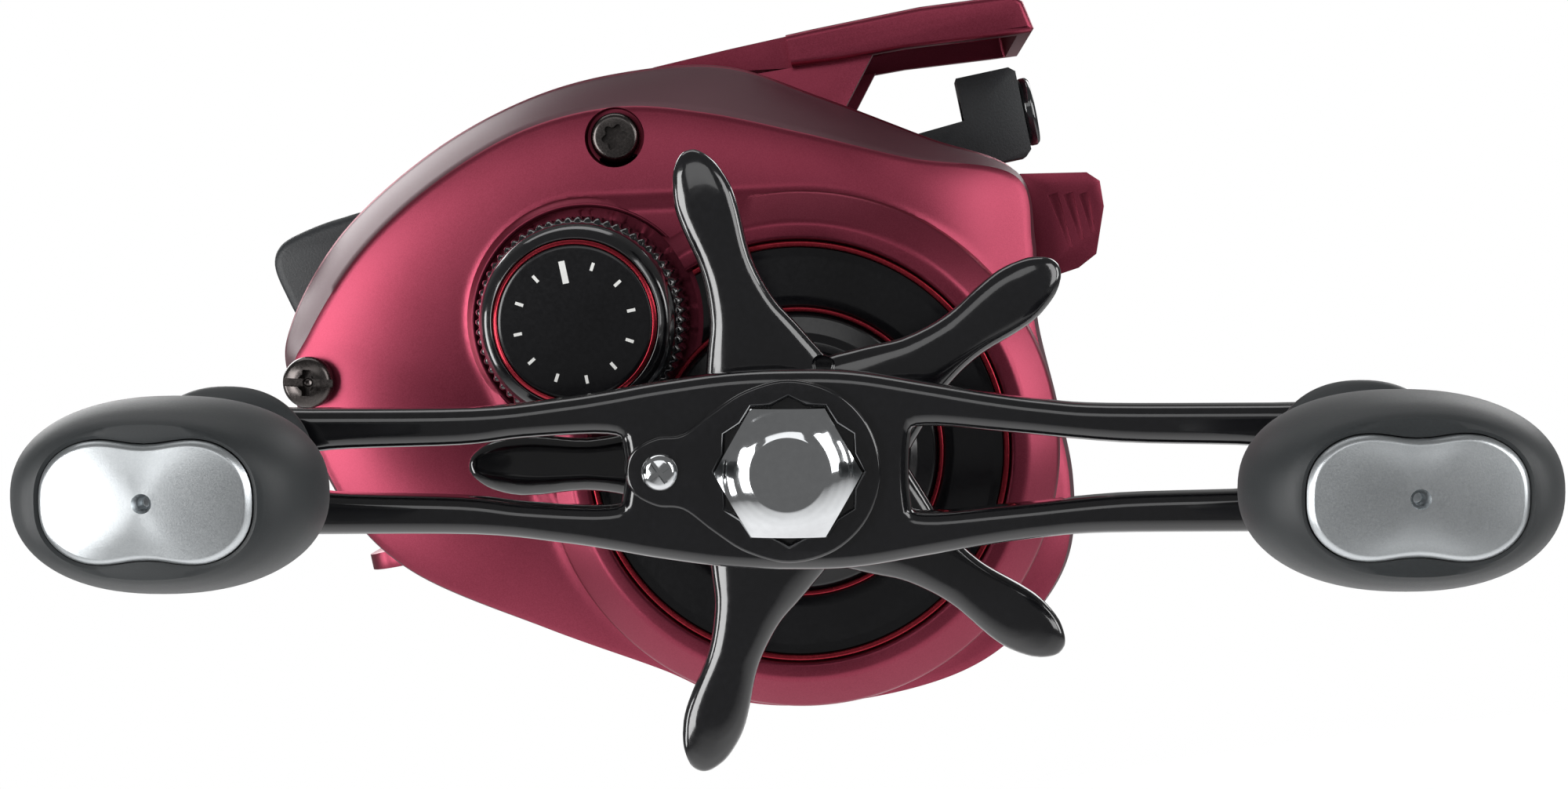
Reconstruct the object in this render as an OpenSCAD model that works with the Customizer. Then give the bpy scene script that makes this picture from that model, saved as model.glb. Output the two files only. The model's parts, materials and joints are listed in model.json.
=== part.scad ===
// Low-profile baitcasting reel, right-hand wind, millimetres.
// +Z is up, +X points forward along the line, and -Y is the handle side.
// The origin is the centre of the reel foot's flat underside.
// "out" is a distance from the spool's mid-plane towards the handle side, so y = -out.

/* [Spool] */
// Radius of the spool flanges
spool_r = 16; // [15.5:0.1:16.2]
// Radius of the spool arbor
arbor_r = 9.5; // [8:0.5:11]
// Half the width of the spool
spool_half = 11.5; // [10.5:0.1:11.5]

/* [Drive] */
// Teeth of the drive gear
drive_teeth = 73; // [73]
// Teeth of the pinion
pinion_teeth = 10; // [10]
// Tooth module of the drive pair
drive_module = 0.52; // [0.52]

/* [Handle] */
// Distance between the two knob axes
handle_span = 88; // [84:1:100]
// Thickness of the handle arm
handle_t = 4; // [3:0.5:4]
// Length of a knob paddle
knob_l = 22.6; // [20:0.2:24]
// Width of a knob paddle
knob_w = 13.8; // [12:0.2:15]
// Across flats of the handle nut
nut_af = 10; // [10]

/* [Star drag] */
// Radius of the star tips
star_r = 27; // [24:0.5:27]
// Number of star arms
star_arms = 5; // [5]

/* [Body] */
// Outer face of the handle side cover
cover_out = 29; // [28.5:0.1:29]
// Wall thickness of the covers
wall = 1.6; // [1.4:0.1:1.7]
// Outer face of the palm side cover
palm_out = 28; // [27:0.5:28]
// Length of the reel foot
foot_l = 62; // [56:1:64]
// Width of the reel foot
foot_w = 13; // [12:0.5:13]

/* [Hidden] */
$fn = 72;

red = [0.62, 0.19, 0.29];
trim_red = [0.85, 0.16, 0.2];
black = [0.08, 0.08, 0.09];
steel = [0.75, 0.76, 0.78];
brass = [0.78, 0.62, 0.3];
carbon = [0.16, 0.16, 0.17];
grip_grey = [0.24, 0.28, 0.28];

// Shaft centres, as (x, z)
spool_at = [-2, 19.5];
drive_at = [13.65, 4.64];
worm_at = [28.5, 19.5];
bar_at = [30, 27.4];
eye_z = 30.3;
mesh_angle = atan2(spool_at.y - drive_at.y, spool_at.x - drive_at.x);

// Level-wind train, all on one straight line from the drive shaft to the worm
wind_module = 0.6;
wind_teeth = [24, 13, 20];
train_angle = atan2(worm_at.y - drive_at.y, worm_at.x - drive_at.x);
idler_d = wind_module * (wind_teeth[0] + wind_teeth[1]) / 2;
idler_at = drive_at + idler_d * [cos(train_angle), sin(train_angle)];

// Distances out from the mid-plane
wall_in = 13;
wall_out = 15;
wind_gear_out = [16, 17.6];
drive_gear_out = [21.2, 24];
pocket_out = 27;
disc_floor_out = 29.4;
boss_out = 31;
star_out = [39, 42.2];
arm_out = [46, 46 + handle_t];
knob_out = 75;

handle_angle = -11.55;
star_angle = 25;
boss_r = 22.6;
web_at = 12.6;
web_t = 2;
pocket_r = 9.7;
cap_r = 8.9;
run = 0.05;
screw_r = 1.2;

top_screw_at = [3.5, 34.5];
rear_screw_at = [-27.2, 19.2];
lower_screw_at = [-12, -3.6];
inner_screw_out = 24;
palm_screws_at = [[-21.5, 9], [26, 9.5], [8, 35.4]];
lug_at = [-20.5, 26];
lug_r = 1;
lug_travel = 4;
yoke_post_d = 11;

// Points of a closed smooth curve through p, n steps to each span
function smooth(p, n = 5) = let (k = len(p)) [
    for (i = [0:k - 1]) for (j = [0:n - 1])
        let (t = j / n, a = p[(i + k - 1) % k], b = p[i], c = p[(i + 1) % k], d = p[(i + 2) % k])
        (2 * b + (c - a) * t + (2 * a - 5 * b + 4 * c - d) * t * t
            + (3 * b - a - 3 * c + d) * t * t * t) / 2
];

// The points of half an outline, followed by their mirror image across the x axis
function both_sides(p) = concat(p, [for (i = [len(p) - 2:-1:1]) [p[i].x, -p[i].y]]);

// Extrude a drawing in the x-z plane between two distances out
module plate(from, to) {
    translate([0, -from, 0]) rotate([90, 0, 0]) linear_extrude(to - from) children();
}

// Turn a profile of (radius, distance out) about an axis along y at a shaft centre
module turned(at) {
    translate([at.x, 0, at.y]) rotate([90, 0, 0]) rotate_extrude() children();
}

// A cylinder along y
module rod(at, r, from, to) {
    translate([at.x, -from, at.y]) rotate([90, 0, 0]) cylinder(r = r, h = to - from);
}

// A tube along y
module ring(at, r_in, r_out, from, to) {
    difference() {
        rod(at, r_out, from, to);
        rod(at, r_in, from - 1, to + 1);
    }
}

// Place a drawing at the handle's centre, with its x along the handle
module on_handle() {
    translate([drive_at.x, 0, drive_at.y]) rotate([0, -handle_angle, 0]) children();
}

// Polar angle of an involute, in degrees
function involute(a) = tan(a) * 180 / PI - a;

// Outline of a spur gear with one tooth centred on tooth_at degrees
module gear_outline(teeth, m, tooth_at, backlash = 0.07, pressure = 25) {
    pitch_r = teeth * m / 2;
    base_r = pitch_r * cos(pressure);
    root_r = pitch_r - 1.05 * m;
    tip_r = pitch_r + 0.8 * m;
    half = 90 / teeth - backlash / 4 / pitch_r * 180 / PI + involute(pressure);
    radii = root_r < base_r ? [root_r, base_r, pitch_r, tip_r] : [root_r, pitch_r, tip_r];
    flank = [for (r = radii) [r, half - involute(acos(min(1, base_r / max(r, base_r))))]];
    last = len(flank) - 1;
    polygon([
        for (i = [0:teeth - 1]) for (k = [0:2 * last + 1])
            let (f = flank[k <= last ? k : 2 * last + 1 - k],
                 a = tooth_at + i * 360 / teeth + (k <= last ? -f[1] : f[1]))
            f[0] * [cos(a), sin(a)]
    ]);
}

module gear_at(at, teeth, m, tooth_at, from, to) {
    plate(from, to) translate(at) gear_outline(teeth, m, tooth_at);
}

// Outer edge of the handle side, where it meets the frame
module rim_outline() {
    polygon(smooth([
        [-31.6, 19.3], [-30.2, 25], [-23.8, 32], [-14.5, 37.3], [-5, 40.2], [4, 40.8],
        [13.5, 39.4], [21.6, 34.8], [30.3, 29.2], [36.9, 24.7], [37.2, 18], [36.4, 11.5],
        [36.8, 4], [36.9, -3], [35.4, -9.5], [31.9, -13.9], [26.5, -17.3], [19, -18.6],
        [10, -18.3], [3, -16.4], [-2.5, -12.6], [-12.3, -7.3], [-23.5, 0], [-29, 8]
    ]));
}

// Flat face of the handle side cover, inside its chamfered edge
module face_outline() {
    polygon(smooth([
        [-28.7, 19.4], [-26.6, 23.4], [-20.6, 29.4], [-13, 33.9], [-4.4, 36.8], [4, 37.1],
        [11.5, 35], [19.5, 31.5], [28, 27.5], [36.5, 24.1], [36.8, 18], [35.8, 11.5],
        [36.2, 4], [36.2, -3], [34.7, -9.2], [31.3, -13.4], [26, -16.7], [19, -18],
        [10, -17.7], [3.2, -15.8], [-2.3, -12], [-11.6, -6.3], [-22.3, 1.2], [-27, 8.9]
    ]));
}

// Outer edge of the palm side
module palm_outline() {
    polygon(smooth([
        [-31.6, 19.3], [-30.2, 25], [-23.8, 32], [-14.5, 37.3], [-5, 40.2], [4, 40.8],
        [13.5, 39.4], [21.6, 34.8], [30.3, 29.2], [36.9, 24.7], [37.2, 18], [34, 9], [24, 1.8],
        [8, -0.6], [-8, -0.6], [-21, 1.6], [-28.4, 9]
    ]));
}

module cover_screw_holes(r, from, to) {
    for (at = [top_screw_at, rear_screw_at, lower_screw_at]) rod(at, r, from, to);
}

/* ---- fixed parts ---- */

module nose_outline() {
    polygon([[37.6, 24.2], [43.4, 23.1], [44.4, 22.1], [44.3, 19.8], [42.8, 15.8], [41, 14.9],
        [37.6, 14.5]]);
}

module frame() {
    color(red) difference() {
        union() {
            plate(wall_in, wall_out) offset(delta = -0.5) rim_outline();
            plate(-wall_out, -wall_in) offset(delta = -0.5) palm_outline();
            // Base, rear bar and nose bar
            plate(-wall_in, wall_in) polygon([[-22, 1.8], [24, 1.8], [24, 3.1], [-22, 3.1]]);
            plate(-wall_in, wall_in) polygon([[-27.5, 8.5], [-24.5, 4.5], [-19.5, 1.8], [-17, 3.1],
                [-21, 7.2], [-25, 11]]);
            plate(-wall_in, wall_in) polygon([[35.2, 23.8], [37.6, 24.2], [37.6, 14.5], [35.2, 14.5]]);
            plate(-20, 20) nose_outline();
            plate(wall_in, wall_out) polygon([[34, 23.5], [37.7, 24], [37.7, 14.6], [34, 15]]);
            plate(-wall_out, -wall_in) polygon([[34, 23.5], [37.7, 24], [37.7, 14.6], [34, 15]]);
            // Webs that carry the hood
            for (s = [-1, 1]) plate(s * web_at - web_t / 2, s * web_at + web_t / 2)
                polygon([[12, 35], [20, 31.5], [23, 33], [27, 37.9], [15, 38.4]]);
            // Seat of the drive shaft's inner bearing, and the cam's collar
            rod(drive_at, 4.6, 11.6, wall_out);
            rod(spool_at, 5.5, wall_in, 16.2);
        }
        rod(spool_at, 4, 10, 17);
        rod(spool_at, spool_r + 0.6, -16, -10);
        rod(drive_at, 3.5, 12.2, 16);
        rod(drive_at, 2.4, 10, 13);
        for (s = [-1, 1]) rod(worm_at, 2.6, s * 14 - 1.1, s * 14 + 1.1);
        for (s = [-1, 1]) rod(bar_at, 1, s * 14 - 1.1, s * 14 + 1.1);
        rod(idler_at, 0.9, 12.5, 16);
        for (s = [-1, 1]) rod(post_at(s), 0.9, 12.5, 16);
        cover_screw_holes(screw_r, 12, 16);
        turned(lower_screw_at) polygon([[0, 12.9], [2.3, 12.9], [2.3, 13.1], [1.2, 14.2], [0, 14.2]]);
        for (at = palm_screws_at) rod(at, screw_r, -16, -12);
        // Slot for the thumb bar's lug
        plate(12, 16) lug_path(lug_r + 0.3);
        // Three slanted slots in each end of the nose
        for (s = [-1, 1]) for (i = [0:2])
            plate(s * 20 - 0.5, s * 20 + 0.5) nose_slot(i);
        for (x = [-12, 12]) translate([x, 0, 1]) cylinder(r = 1.2, h = 3);
    }
}

module nose_slot(i) {
    polygon([
        [39.6 + 1.35 * i, 21.8 - 0.25 * i], [40.5 + 1.35 * i, 21.9 - 0.25 * i],
        [40.9 + 1.1 * i, 16.9 + 0.4 * i], [40.5 + 1.1 * i, 16.9 + 0.4 * i]
    ]);
}

module lug_path(r) {
    hull() {
        translate(lug_at) circle(r, $fn = 32);
        translate(lug_at - [0, lug_travel]) circle(r, $fn = 32);
    }
}

module reel_foot() {
    half = foot_l / 2;
    color(red) difference() {
        intersection() {
            translate([0, foot_w / 2, 0]) rotate([90, 0, 0]) linear_extrude(foot_w)
                polygon([[-half, 0], [half, 0], [half, 1.5], [half - 4, 1.8], [4 - half, 1.8],
                    [-half, 1.5]]);
            linear_extrude(2) offset(r = 4, $fn = 48) square([foot_l - 8, foot_w - 8], center = true);
        }
        for (x = [-12, 12]) translate([x, 0, -1]) cylinder(r = 1.2, h = 4);
        for (x = [-12, 12]) translate([x, 0, -0.01]) cylinder(r = 2, h = 0.9);
    }
}

module foot_rivets() {
    color(steel) for (x = [-12, 12]) translate([x, 0, 0]) rotate_extrude()
        polygon([[0, 0.2], [1.9, 0.2], [1.9, 0.8], [1.15, 0.9], [1.15, 3.1], [1.9, 3.1], [1.6, 3.7],
            [0, 3.9]]);
}

module hood_outline() {
    polygon([[5, 40.5], [7, 41], [22, 41.2], [32, 41], [40.6, 40.2], [41.2, 39.8], [41.9, 35.9],
             [38.8, 36.4], [29, 38], [20, 38.5], [15, 38.5], [5, 39]]);
}

module front_hood() {
    color(red) difference() {
        union() {
            plate(-12.9, 12.9) hood_outline();
            plate(-14.8, 14.8) intersection() {
                hood_outline();
                translate([17.5, 30]) square([30, 20]);
            }
        }
        // The underside is hollowed between its two skirts
        plate(-12.2, 12.2) polygon([[24, 37], [30, 37], [36, 35], [40, 35], [39.6, 38.6], [32, 39.4],
            [24, 39.6]]);
        // Room for the webs
        for (s = [-1, 1]) plate(s * web_at - web_t / 2 - 0.1, s * web_at + web_t / 2 + 0.1)
            polygon([[10, 35], [30, 35], [30, 37.95], [14.5, 38.55], [10, 38.5]]);
    }
}

// Bores and head recesses of the screws that hold the handle side cover
module cover_screw_cuts() {
    for (at = [top_screw_at, rear_screw_at]) rod(at, screw_r + run, 14, 30);
    rod(lower_screw_at, screw_r + run, 14, inner_screw_out + 0.3);
    rod(top_screw_at, 2.65, 26.6, 30);
    rod(rear_screw_at, 2.3, 28, 30);
}

module handle_side_cover() {
    color(red) difference() {
        union() {
            difference() {
                union() {
                    hull() {
                        plate(wall_out, wall_out + 3) rim_outline();
                        plate(cover_out - 0.1, cover_out) face_outline();
                    }
                    turned(drive_at)
                        polygon([[0, 20], [boss_r, 20], [boss_r, 28.4], [19.6, boss_out], [0, boss_out]]);
                }
                // Gear room
                plate(wall_out - 1, wall_out + 3) offset(delta = -wall) rim_outline();
                plate(wall_out - 1, cover_out - wall) offset(delta = -wall) face_outline();
                rod(drive_at, 20.4, wall_out, disc_floor_out - wall);
                // Recess of the face disc, and the pocket of the cast control cap
                rod(drive_at, 18.2, disc_floor_out, 32);
                rod(spool_at, pocket_r, pocket_out - wall, 32);
            }
            rod(drive_at, 9, 27, disc_floor_out);
            rod(spool_at, pocket_r + wall, pocket_out - wall, pocket_out);
            rod(spool_at, 6.4, pocket_out - wall, 33.5);
            ring(spool_at, pocket_r, pocket_r + wall, pocket_out - wall, cover_out - 0.1);
            cover_screw_holes(2.6, wall_out, cover_out - 1);
        }
        rod(drive_at, 7.25, 20, 32);
        rod(spool_at, 3.5, 20, 34);
        // Room for the drag stack beside the pocket
        rod(drive_at, 12.9, 20, 26.7);
        cover_screw_cuts();
    }
}

module palm_side_cover() {
    color(red) difference() {
        union() {
            difference() {
                hull() {
                    plate(-wall_out - 4, -wall_out) palm_outline();
                    plate(-24, -23) offset(delta = -3) palm_outline();
                    plate(-palm_out, 0.1 - palm_out) offset(delta = -8) palm_outline();
                }
                plate(-wall_out - 4, 1 - wall_out) offset(delta = -wall) palm_outline();
                plate(-23, 1 - wall_out) offset(delta = -3 - wall) palm_outline();
                plate(wall - palm_out, 1 - wall_out) offset(delta = -9 - wall) palm_outline();
            }
            rod(spool_at, 10.6, 0.5 - palm_out, 3 - palm_out);
            rod(spool_at, 4.6, 0.5 - palm_out, -15.6);
            for (at = palm_screws_at) rod(at, 2.6, -21, -wall_out);
        }
        rod(spool_at, 3.5, -23, -15);
        rod(spool_at, 1.6, -palm_out - 1, -15);
        rod(spool_at, 9, -palm_out - 1, 1.2 - palm_out);
        for (at = palm_screws_at) rod(at, screw_r + run, -30, -14);
        for (at = palm_screws_at) rod(at, 2.3, -30, -20);
    }
}

module screw(at, head_r, head_out, head_t, tip_out) {
    turned(at) polygon([[0, tip_out], [screw_r - run, tip_out], [screw_r - run, head_out],
        [head_r, head_out], [head_r, head_out + head_t * 0.6], [head_r * 0.7, head_out + head_t],
        [0, head_out + head_t]]);
}

module top_cover_screw() {
    color(black) difference() {
        screw(top_screw_at, 2.3, 26.6, 1.4, 13.2);
        plate(27.2, 29) translate(top_screw_at) circle(1.1, $fn = 6);
    }
}

module slotted_cover_screws() {
    color(steel) difference() {
        screw(rear_screw_at, 2.2, 28, 1.6, 13.2);
        plate(29, 30) translate(rear_screw_at) {
            square([5, 0.7], center = true);
            square([0.8, 2.6], center = true);
        }
    }
    // The lower screw is countersunk into the frame's inner face
    color(steel) difference() {
        turned(lower_screw_at) polygon([[0, 13.1], [2.1, 13.1], [screw_r - run, 14.1],
            [screw_r - run, inner_screw_out], [0, inner_screw_out]]);
        plate(13, 13.6) translate(lower_screw_at) square([5, 0.6], center = true);
    }
}

module palm_cover_screws() {
    color(steel) for (at = palm_screws_at)
        turned(at) polygon([[0, -13.2], [screw_r - run, -13.2], [screw_r - run, -20], [2.2, -20],
            [2.2, -21], [1.5, -21.4], [0, -21.4]]);
}

// Things round the drive shaft are cut away where the cast control cap stands
module clear_of_cap() {
    difference() {
        children();
        rod(spool_at, pocket_r + 0.5, 20, 40);
    }
}

module drag_face_disc() {
    color(black) clear_of_cap() ring(drive_at, 12.5, 17.3, disc_floor_out, 30.6);
}

module outer_trim_ring() {
    color(trim_red) clear_of_cap() ring(drive_at, 17.35, 18.1, disc_floor_out, 30.9);
}

module inner_trim_ring() {
    color(trim_red) ring(drive_at, 11.85, 12.45, disc_floor_out, 30.9);
}

module clutch_retainer_plate() {
    color(carbon) turned(drive_at) polygon([[5.6, disc_floor_out + 1.9], [5.6, 31.8],
        [8.5, 31.8], [11.8, 30.8], [11.8, disc_floor_out], [7.3, disc_floor_out],
            [7.3, disc_floor_out + 1.9]]);
}

module one_way_clutch() {
    color(steel) ring(drive_at, 4.25, 7.2, 27, 31.2);
}

module drive_shaft_bearing() {
    color(steel) ring(drive_at, 2, 3.5, 12.2, 15);
}

module spool_bearings() {
    color(steel) {
        ring(spool_at, 1.55, 3.5, 29, 31.5);
        ring(spool_at, 1.55, 3.5, -18.8, -16.2);
    }
}

module worm_guard_tube() {
    color(steel) difference() {
        ring(worm_at, 2.9, 3.4, -wall_in, wall_in);
        translate([worm_at.x - 1.3, -10.8, worm_at.y - 4]) cube([2.6, 21.6, 3]);
    }
}

module guide_bar() {
    color(steel) rod(bar_at, 1, -14.9, 14.9);
}

module worm_bushes() {
    color(brass) {
        ring(worm_at, 1.55, 2.6, 13, 15);
        ring(worm_at, 1.55, 2.6, -15, -13);
    }
}

module idler_pin() {
    color(steel) {
        rod(idler_at, 0.9, 13, 18.4);
        ring(idler_at, 0.85, 1.8, 17.8, 18.4);
    }
}

function post_at(s) = spool_at + s * yoke_post_d * [cos(mesh_angle - 90), sin(mesh_angle - 90)];

module yoke_posts() {
    color(steel) for (s = [-1, 1]) rod(post_at(s), 0.9, 13, 25);
}

module yoke_springs() {
    color(steel) for (s = [-1, 1]) ring(post_at(s), 1.15, 1.7, 20.7, 25);
}

/* ---- parts that turn with the handle ---- */

module drive_shaft() {
    color(steel) difference() {
        union() {
            rod(drive_at, 1.95, 12.3, 15.4);
            rod(drive_at, 3, 15.4, 45);
            rod(drive_at, 2.2, 45, 52.6);
            intersection() {
                rod(drive_at, 3, 45, arm_out[1] - 0.2);
                on_handle() translate([-3.5, -50, -2.3]) cube([7, 10, 4.6]);
            }
        }
    }
}

module levelwind_drive_gear() {
    color(brass) difference() {
        gear_at(drive_at, wind_teeth[0], wind_module, train_angle, wind_gear_out[0], wind_gear_out[1]);
        rod(drive_at, 3, 15, 19);
    }
}

module drive_gear() {
    color(brass) difference() {
        union() {
            gear_at(drive_at, drive_teeth, drive_module, mesh_angle + 180 / drive_teeth,
                    drive_gear_out[0], drive_gear_out[1]);
            rod(drive_at, 6, 18, drive_gear_out[0]);
        }
        rod(drive_at, 3, 17, 25);
        rod(drive_at, 12.6, drive_gear_out[1] - 0.6, 25);
        for (a = [30:60:330]) rod(drive_at + 15.4 * [cos(a), sin(a)], 1.6, 21, 25);
    }
}

module drag_washers() {
    color(carbon) {
        ring(drive_at, 3, 12.4, 23.4, 24);
        ring(drive_at, 3, 12.4, 24.6, 25.2);
    }
    color(steel) ring(drive_at, 3, 12.4, 24, 24.6);
}

module drag_pressure_plate() {
    color(steel) ring(drive_at, 3, 11.6, 25.2, 26.4);
}

module clutch_sleeve() {
    color(steel) ring(drive_at, 3, 4.2, 26.4, 33);
}

module drag_spring_washers() {
    color(steel) {
        turned(drive_at) polygon([[3, 33], [5.2, 33], [5.2, 33.7], [3, 33.7]]);
        turned(drive_at) polygon([[3, 33.7], [5.2, 33.7], [5.2, 34.4], [3, 34.4]]);
    }
}

module handle_spacer() {
    color(steel) ring(drive_at, 3, 4.6, 43, 45.9);
}

// Half the height of the handle arm along it
arm_edge = [[-44, 5.1], [-36, 4.95], [-25, 5.05], [-18, 5.8], [-10.6, 6.9], [-5, 7.7], [0, 7.9],
            [5, 7.7], [10.6, 6.8], [18, 5.7], [25, 5.05], [36, 4.95], [44, 5.1]];

module arm_outline() {
    stretch = handle_span / 88;
    polygon(concat(
        [for (p = arm_edge) [p.x * stretch, p.y]],
        [for (i = [len(arm_edge) - 1:-1:0]) [arm_edge[i].x * stretch, -arm_edge[i].y]]
    ));
    for (s = [-1, 1]) translate([s * handle_span / 2, 0]) circle(5.1);
}

// Window between the two beams of one side
module arm_window(start, half) {
    far = handle_span / 2 - 6;
    offset(r = 0.9, $fn = 24) offset(delta = -0.9)
        polygon([[start, half], [start, -half], [start + 9, -2.5], [26, -2], [far, -1.7],
                 [far, 1.7], [26, 2], [start + 9, 2.5]]);
}

module handle_arm() {
    color(black) difference() {
        on_handle() plate(arm_out[0], arm_out[1]) difference() {
            arm_outline();
            arm_window(9.3, 3.5);
            mirror([1, 0]) arm_window(13, 3);
            intersection() {
                circle(3.05);
                square([7, 4.7], center = true);
            }
        }
        on_handle() for (s = [-1, 1]) rod([s * handle_span / 2, 0], 1.8, 45, 51);
        on_handle() rod([-10.1, 0], 0.8, 47, 51);
    }
}

module handle_nut() {
    color(steel) difference() {
        on_handle() union() {
            plate(arm_out[1], 52.4) circle(d = nut_af / cos(30), $fn = 6);
            turned([0, 0]) polygon([[0, 52.4], [4.8, 52.4], [4.5, 53.2], [3.6, 53.9], [3, 54.1],
                [0, 54.1]]);
        }
        rod(drive_at, 2.2, 49, 52.6);
    }
}

module nut_retainer() {
    color(black) on_handle() difference() {
        plate(arm_out[1], arm_out[1] + 0.8) difference() {
            hull() {
                circle(7.2, $fn = 64);
                translate([-10.1, 0]) circle(2.7, $fn = 32);
            }
            for (a = [0, 30]) rotate(a) circle(d = (nut_af + 0.1) / cos(30), $fn = 6);
        }
        rod([-10.1, 0], 0.9, 49, 52);
    }
}

module retainer_screw() {
    color(steel) on_handle() difference() {
        turned([-10.1, 0]) polygon([[0, 47.2], [0.75, 47.2], [0.75, 50.8], [1.45, 50.8], [1.4, 51.4],
            [0.8, 51.7], [0, 51.7]]);
        plate(51.2, 52) translate([-10.1, 0]) {
            square([1.8, 0.35], center = true);
            square([0.35, 1.8], center = true);
        }
    }
}

module knob_posts() {
    color(steel) on_handle() for (s = [-1, 1]) difference() {
        turned([s * handle_span / 2, 0])
            polygon([[0, 46.4], [1.8, 46.4], [1.8, 50], [3, 50], [3, 50.5], [2, 50.5], [2, 70], [0, 70]]);
        rod([s * handle_span / 2, 0], 0.9, 64, 71);
    }
}

module knob_screws() {
    color(steel) on_handle() for (s = [-1, 1])
        turned([s * handle_span / 2, 0]) polygon([[0, 64.4], [0.85, 64.4], [0.85, 70], [2.4, 70],
            [2.2, 71], [0, 71.2]]);
}

/* ---- star drag ---- */

module star_outline() {
    arm = both_sides([[4, 0], [5.5, 3.4], [10, 2.4], [15, 2], [star_r - 5, 2.5], [star_r - 1.2, 1.7],
        [star_r, 0]]);
    circle(8.3);
    for (i = [0:star_arms - 1]) rotate(star_angle + i * 360 / star_arms) polygon(smooth(arm, 4));
}

module star_drag() {
    color(black) difference() {
        union() {
            plate(star_out[0], star_out[1]) translate(drive_at) star_outline();
            turned(drive_at) polygon([[0, 35], [6.4, 35], [8.3, star_out[0]], [0, star_out[0]]]);
        }
        rod(drive_at, 3.1, 34, 43);
        plate(34, 38.05) translate(drive_at) circle(d = 9.1 / cos(30), $fn = 6);
    }
}

module star_nut() {
    color(brass) difference() {
        plate(35, 38) translate(drive_at) circle(d = 9 / cos(30), $fn = 6);
        rod(drive_at, 3 + run, 34, 39);
    }
}

/* ---- knobs: side is 1 for the one at the front at rest, -1 for the one at the rear ---- */

// A rounded paddle outline, narrower at its waist by pinch
module paddle(l, w, pinch = 0) {
    polygon(smooth(both_sides([[-l / 2, 0], [-l * 0.4, w * 0.4], [-l * 0.2, w / 2], [0, w / 2 - pinch],
                               [l * 0.2, w / 2], [l * 0.4, w * 0.4], [l / 2, 0]]), 4));
}

module knob_grip(side) {
    c = [side * handle_span / 2, 0];
    color(grip_grey) on_handle() difference() {
        union() {
            hull() {
                plate(54, 54.1) translate(c) circle(4.6, $fn = 32);
                plate(65, 68) translate(c) paddle(knob_l, knob_w);
                plate(73.9, 74) translate(c) paddle(knob_l - 5, knob_w - 4.6);
            }
            turned(c) polygon([[0, 50.9], [6.2, 50.9], [6.9, 51.6], [6.5, 53], [4.6, 55.4], [0, 55.4]]);
        }
        rod(c, 3.1, 50, 53.6);
        rod(c, 2.3, 50, 72);
        rod(c, 3.1, 67, 72.2);
        plate(72.2, 76) translate(c) paddle(14.7, 9.3, 0.5);
    }
}

module knob_cap(side) {
    c = [side * handle_span / 2, 0];
    color(steel) on_handle() difference() {
        plate(72.2, knob_out) translate(c) paddle(14.5, 9.1, 0.5);
        rod(c, 0.55, 73, 76);
    }
}

module knob_bush(side) {
    c = [side * handle_span / 2, 0];
    color(steel) on_handle() {
        ring(c, 2 + run, 3.1, 51, 53.6);
        ring(c, 2 + run, 3.1, 67, 69.6);
    }
}

module knob_grip_front() { knob_grip(1); }
module knob_cap_front() { knob_cap(1); }
module knob_bush_front() { knob_bush(1); }
module knob_grip_rear() { knob_grip(-1); }
module knob_cap_rear() { knob_cap(-1); }
module knob_bush_rear() { knob_bush(-1); }

/* ---- spool ---- */

module spool() {
    s = spool_half;
    color(steel) turned(spool_at) polygon([
        [1.5, -6], [3, -6], [3, -1.2], [arbor_r - 1, -0.7], [arbor_r - 1, -s + 1.6],
        [spool_r - 0.6, -s], [spool_r, -s + 0.4], [spool_r, -s + 1], [arbor_r, -s + 2.6],
        [arbor_r, s - 2.6], [spool_r, s - 1], [spool_r, s - 0.4], [spool_r - 0.6, s],
        [arbor_r - 1, s - 1.6], [arbor_r - 1, 0.7], [3, 1.2], [3, 6], [1.5, 6]
    ]);
}

module spool_shaft() {
    color(steel) {
        rod(spool_at, 1.5, -19.6, 12.4);
        rod(spool_at, 1, 12.4, 28.6);
        rod(spool_at, 1.5, 28.6, 32.4);
        // The cross pin that the pinion drives
        translate([spool_at.x, -13.4, spool_at.y]) rotate([0, 90 - mesh_angle, 0])
            translate([0, 0, -2.6]) cylinder(r = 0.6, h = 5.2);
    }
}

module brake_rotor() {
    s = spool_half;
    color(steel) turned(spool_at) polygon([[1.5, -12.6], [4.4, -12.6], [4.4, -11.7], [9.5, -11.7],
        [9.5, -14.6], [10.1, -14.6], [10.1, -11.1], [3.6, -11.1], [3.6, -6.1], [1.5, -6.1]]);
}

/* ---- clutch ---- */

module clutch_yoke() {
    color(brass) difference() {
        plate(17.5, 18.5) translate(spool_at) rotate(mesh_angle - 90) difference() {
            offset(r = 2, $fn = 32) square([2 * yoke_post_d, 4], center = true);
            circle(2.35);
            translate([-2.35, 0]) square([4.7, 8]);
        }
        for (s = [-1, 1]) rod(post_at(s), 0.9 + run, 17, 19);
    }
}

module pinion_gear() {
    color(brass) difference() {
        union() {
            rod(spool_at, 3.2, 12.9, 17.3);
            rod(spool_at, 2.1, 17.3, 18.8);
            gear_at(spool_at, pinion_teeth, drive_module, mesh_angle + 180, 18.8, 26.2);
        }
        rod(spool_at, 1.1, 12, 27);
        // Slot for the spool shaft's cross pin
        translate([spool_at.x, -13.6, spool_at.y]) rotate([0, 90 - mesh_angle, 0]) cube([1.4, 1.5, 8],
            center = true);
    }
}

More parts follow.
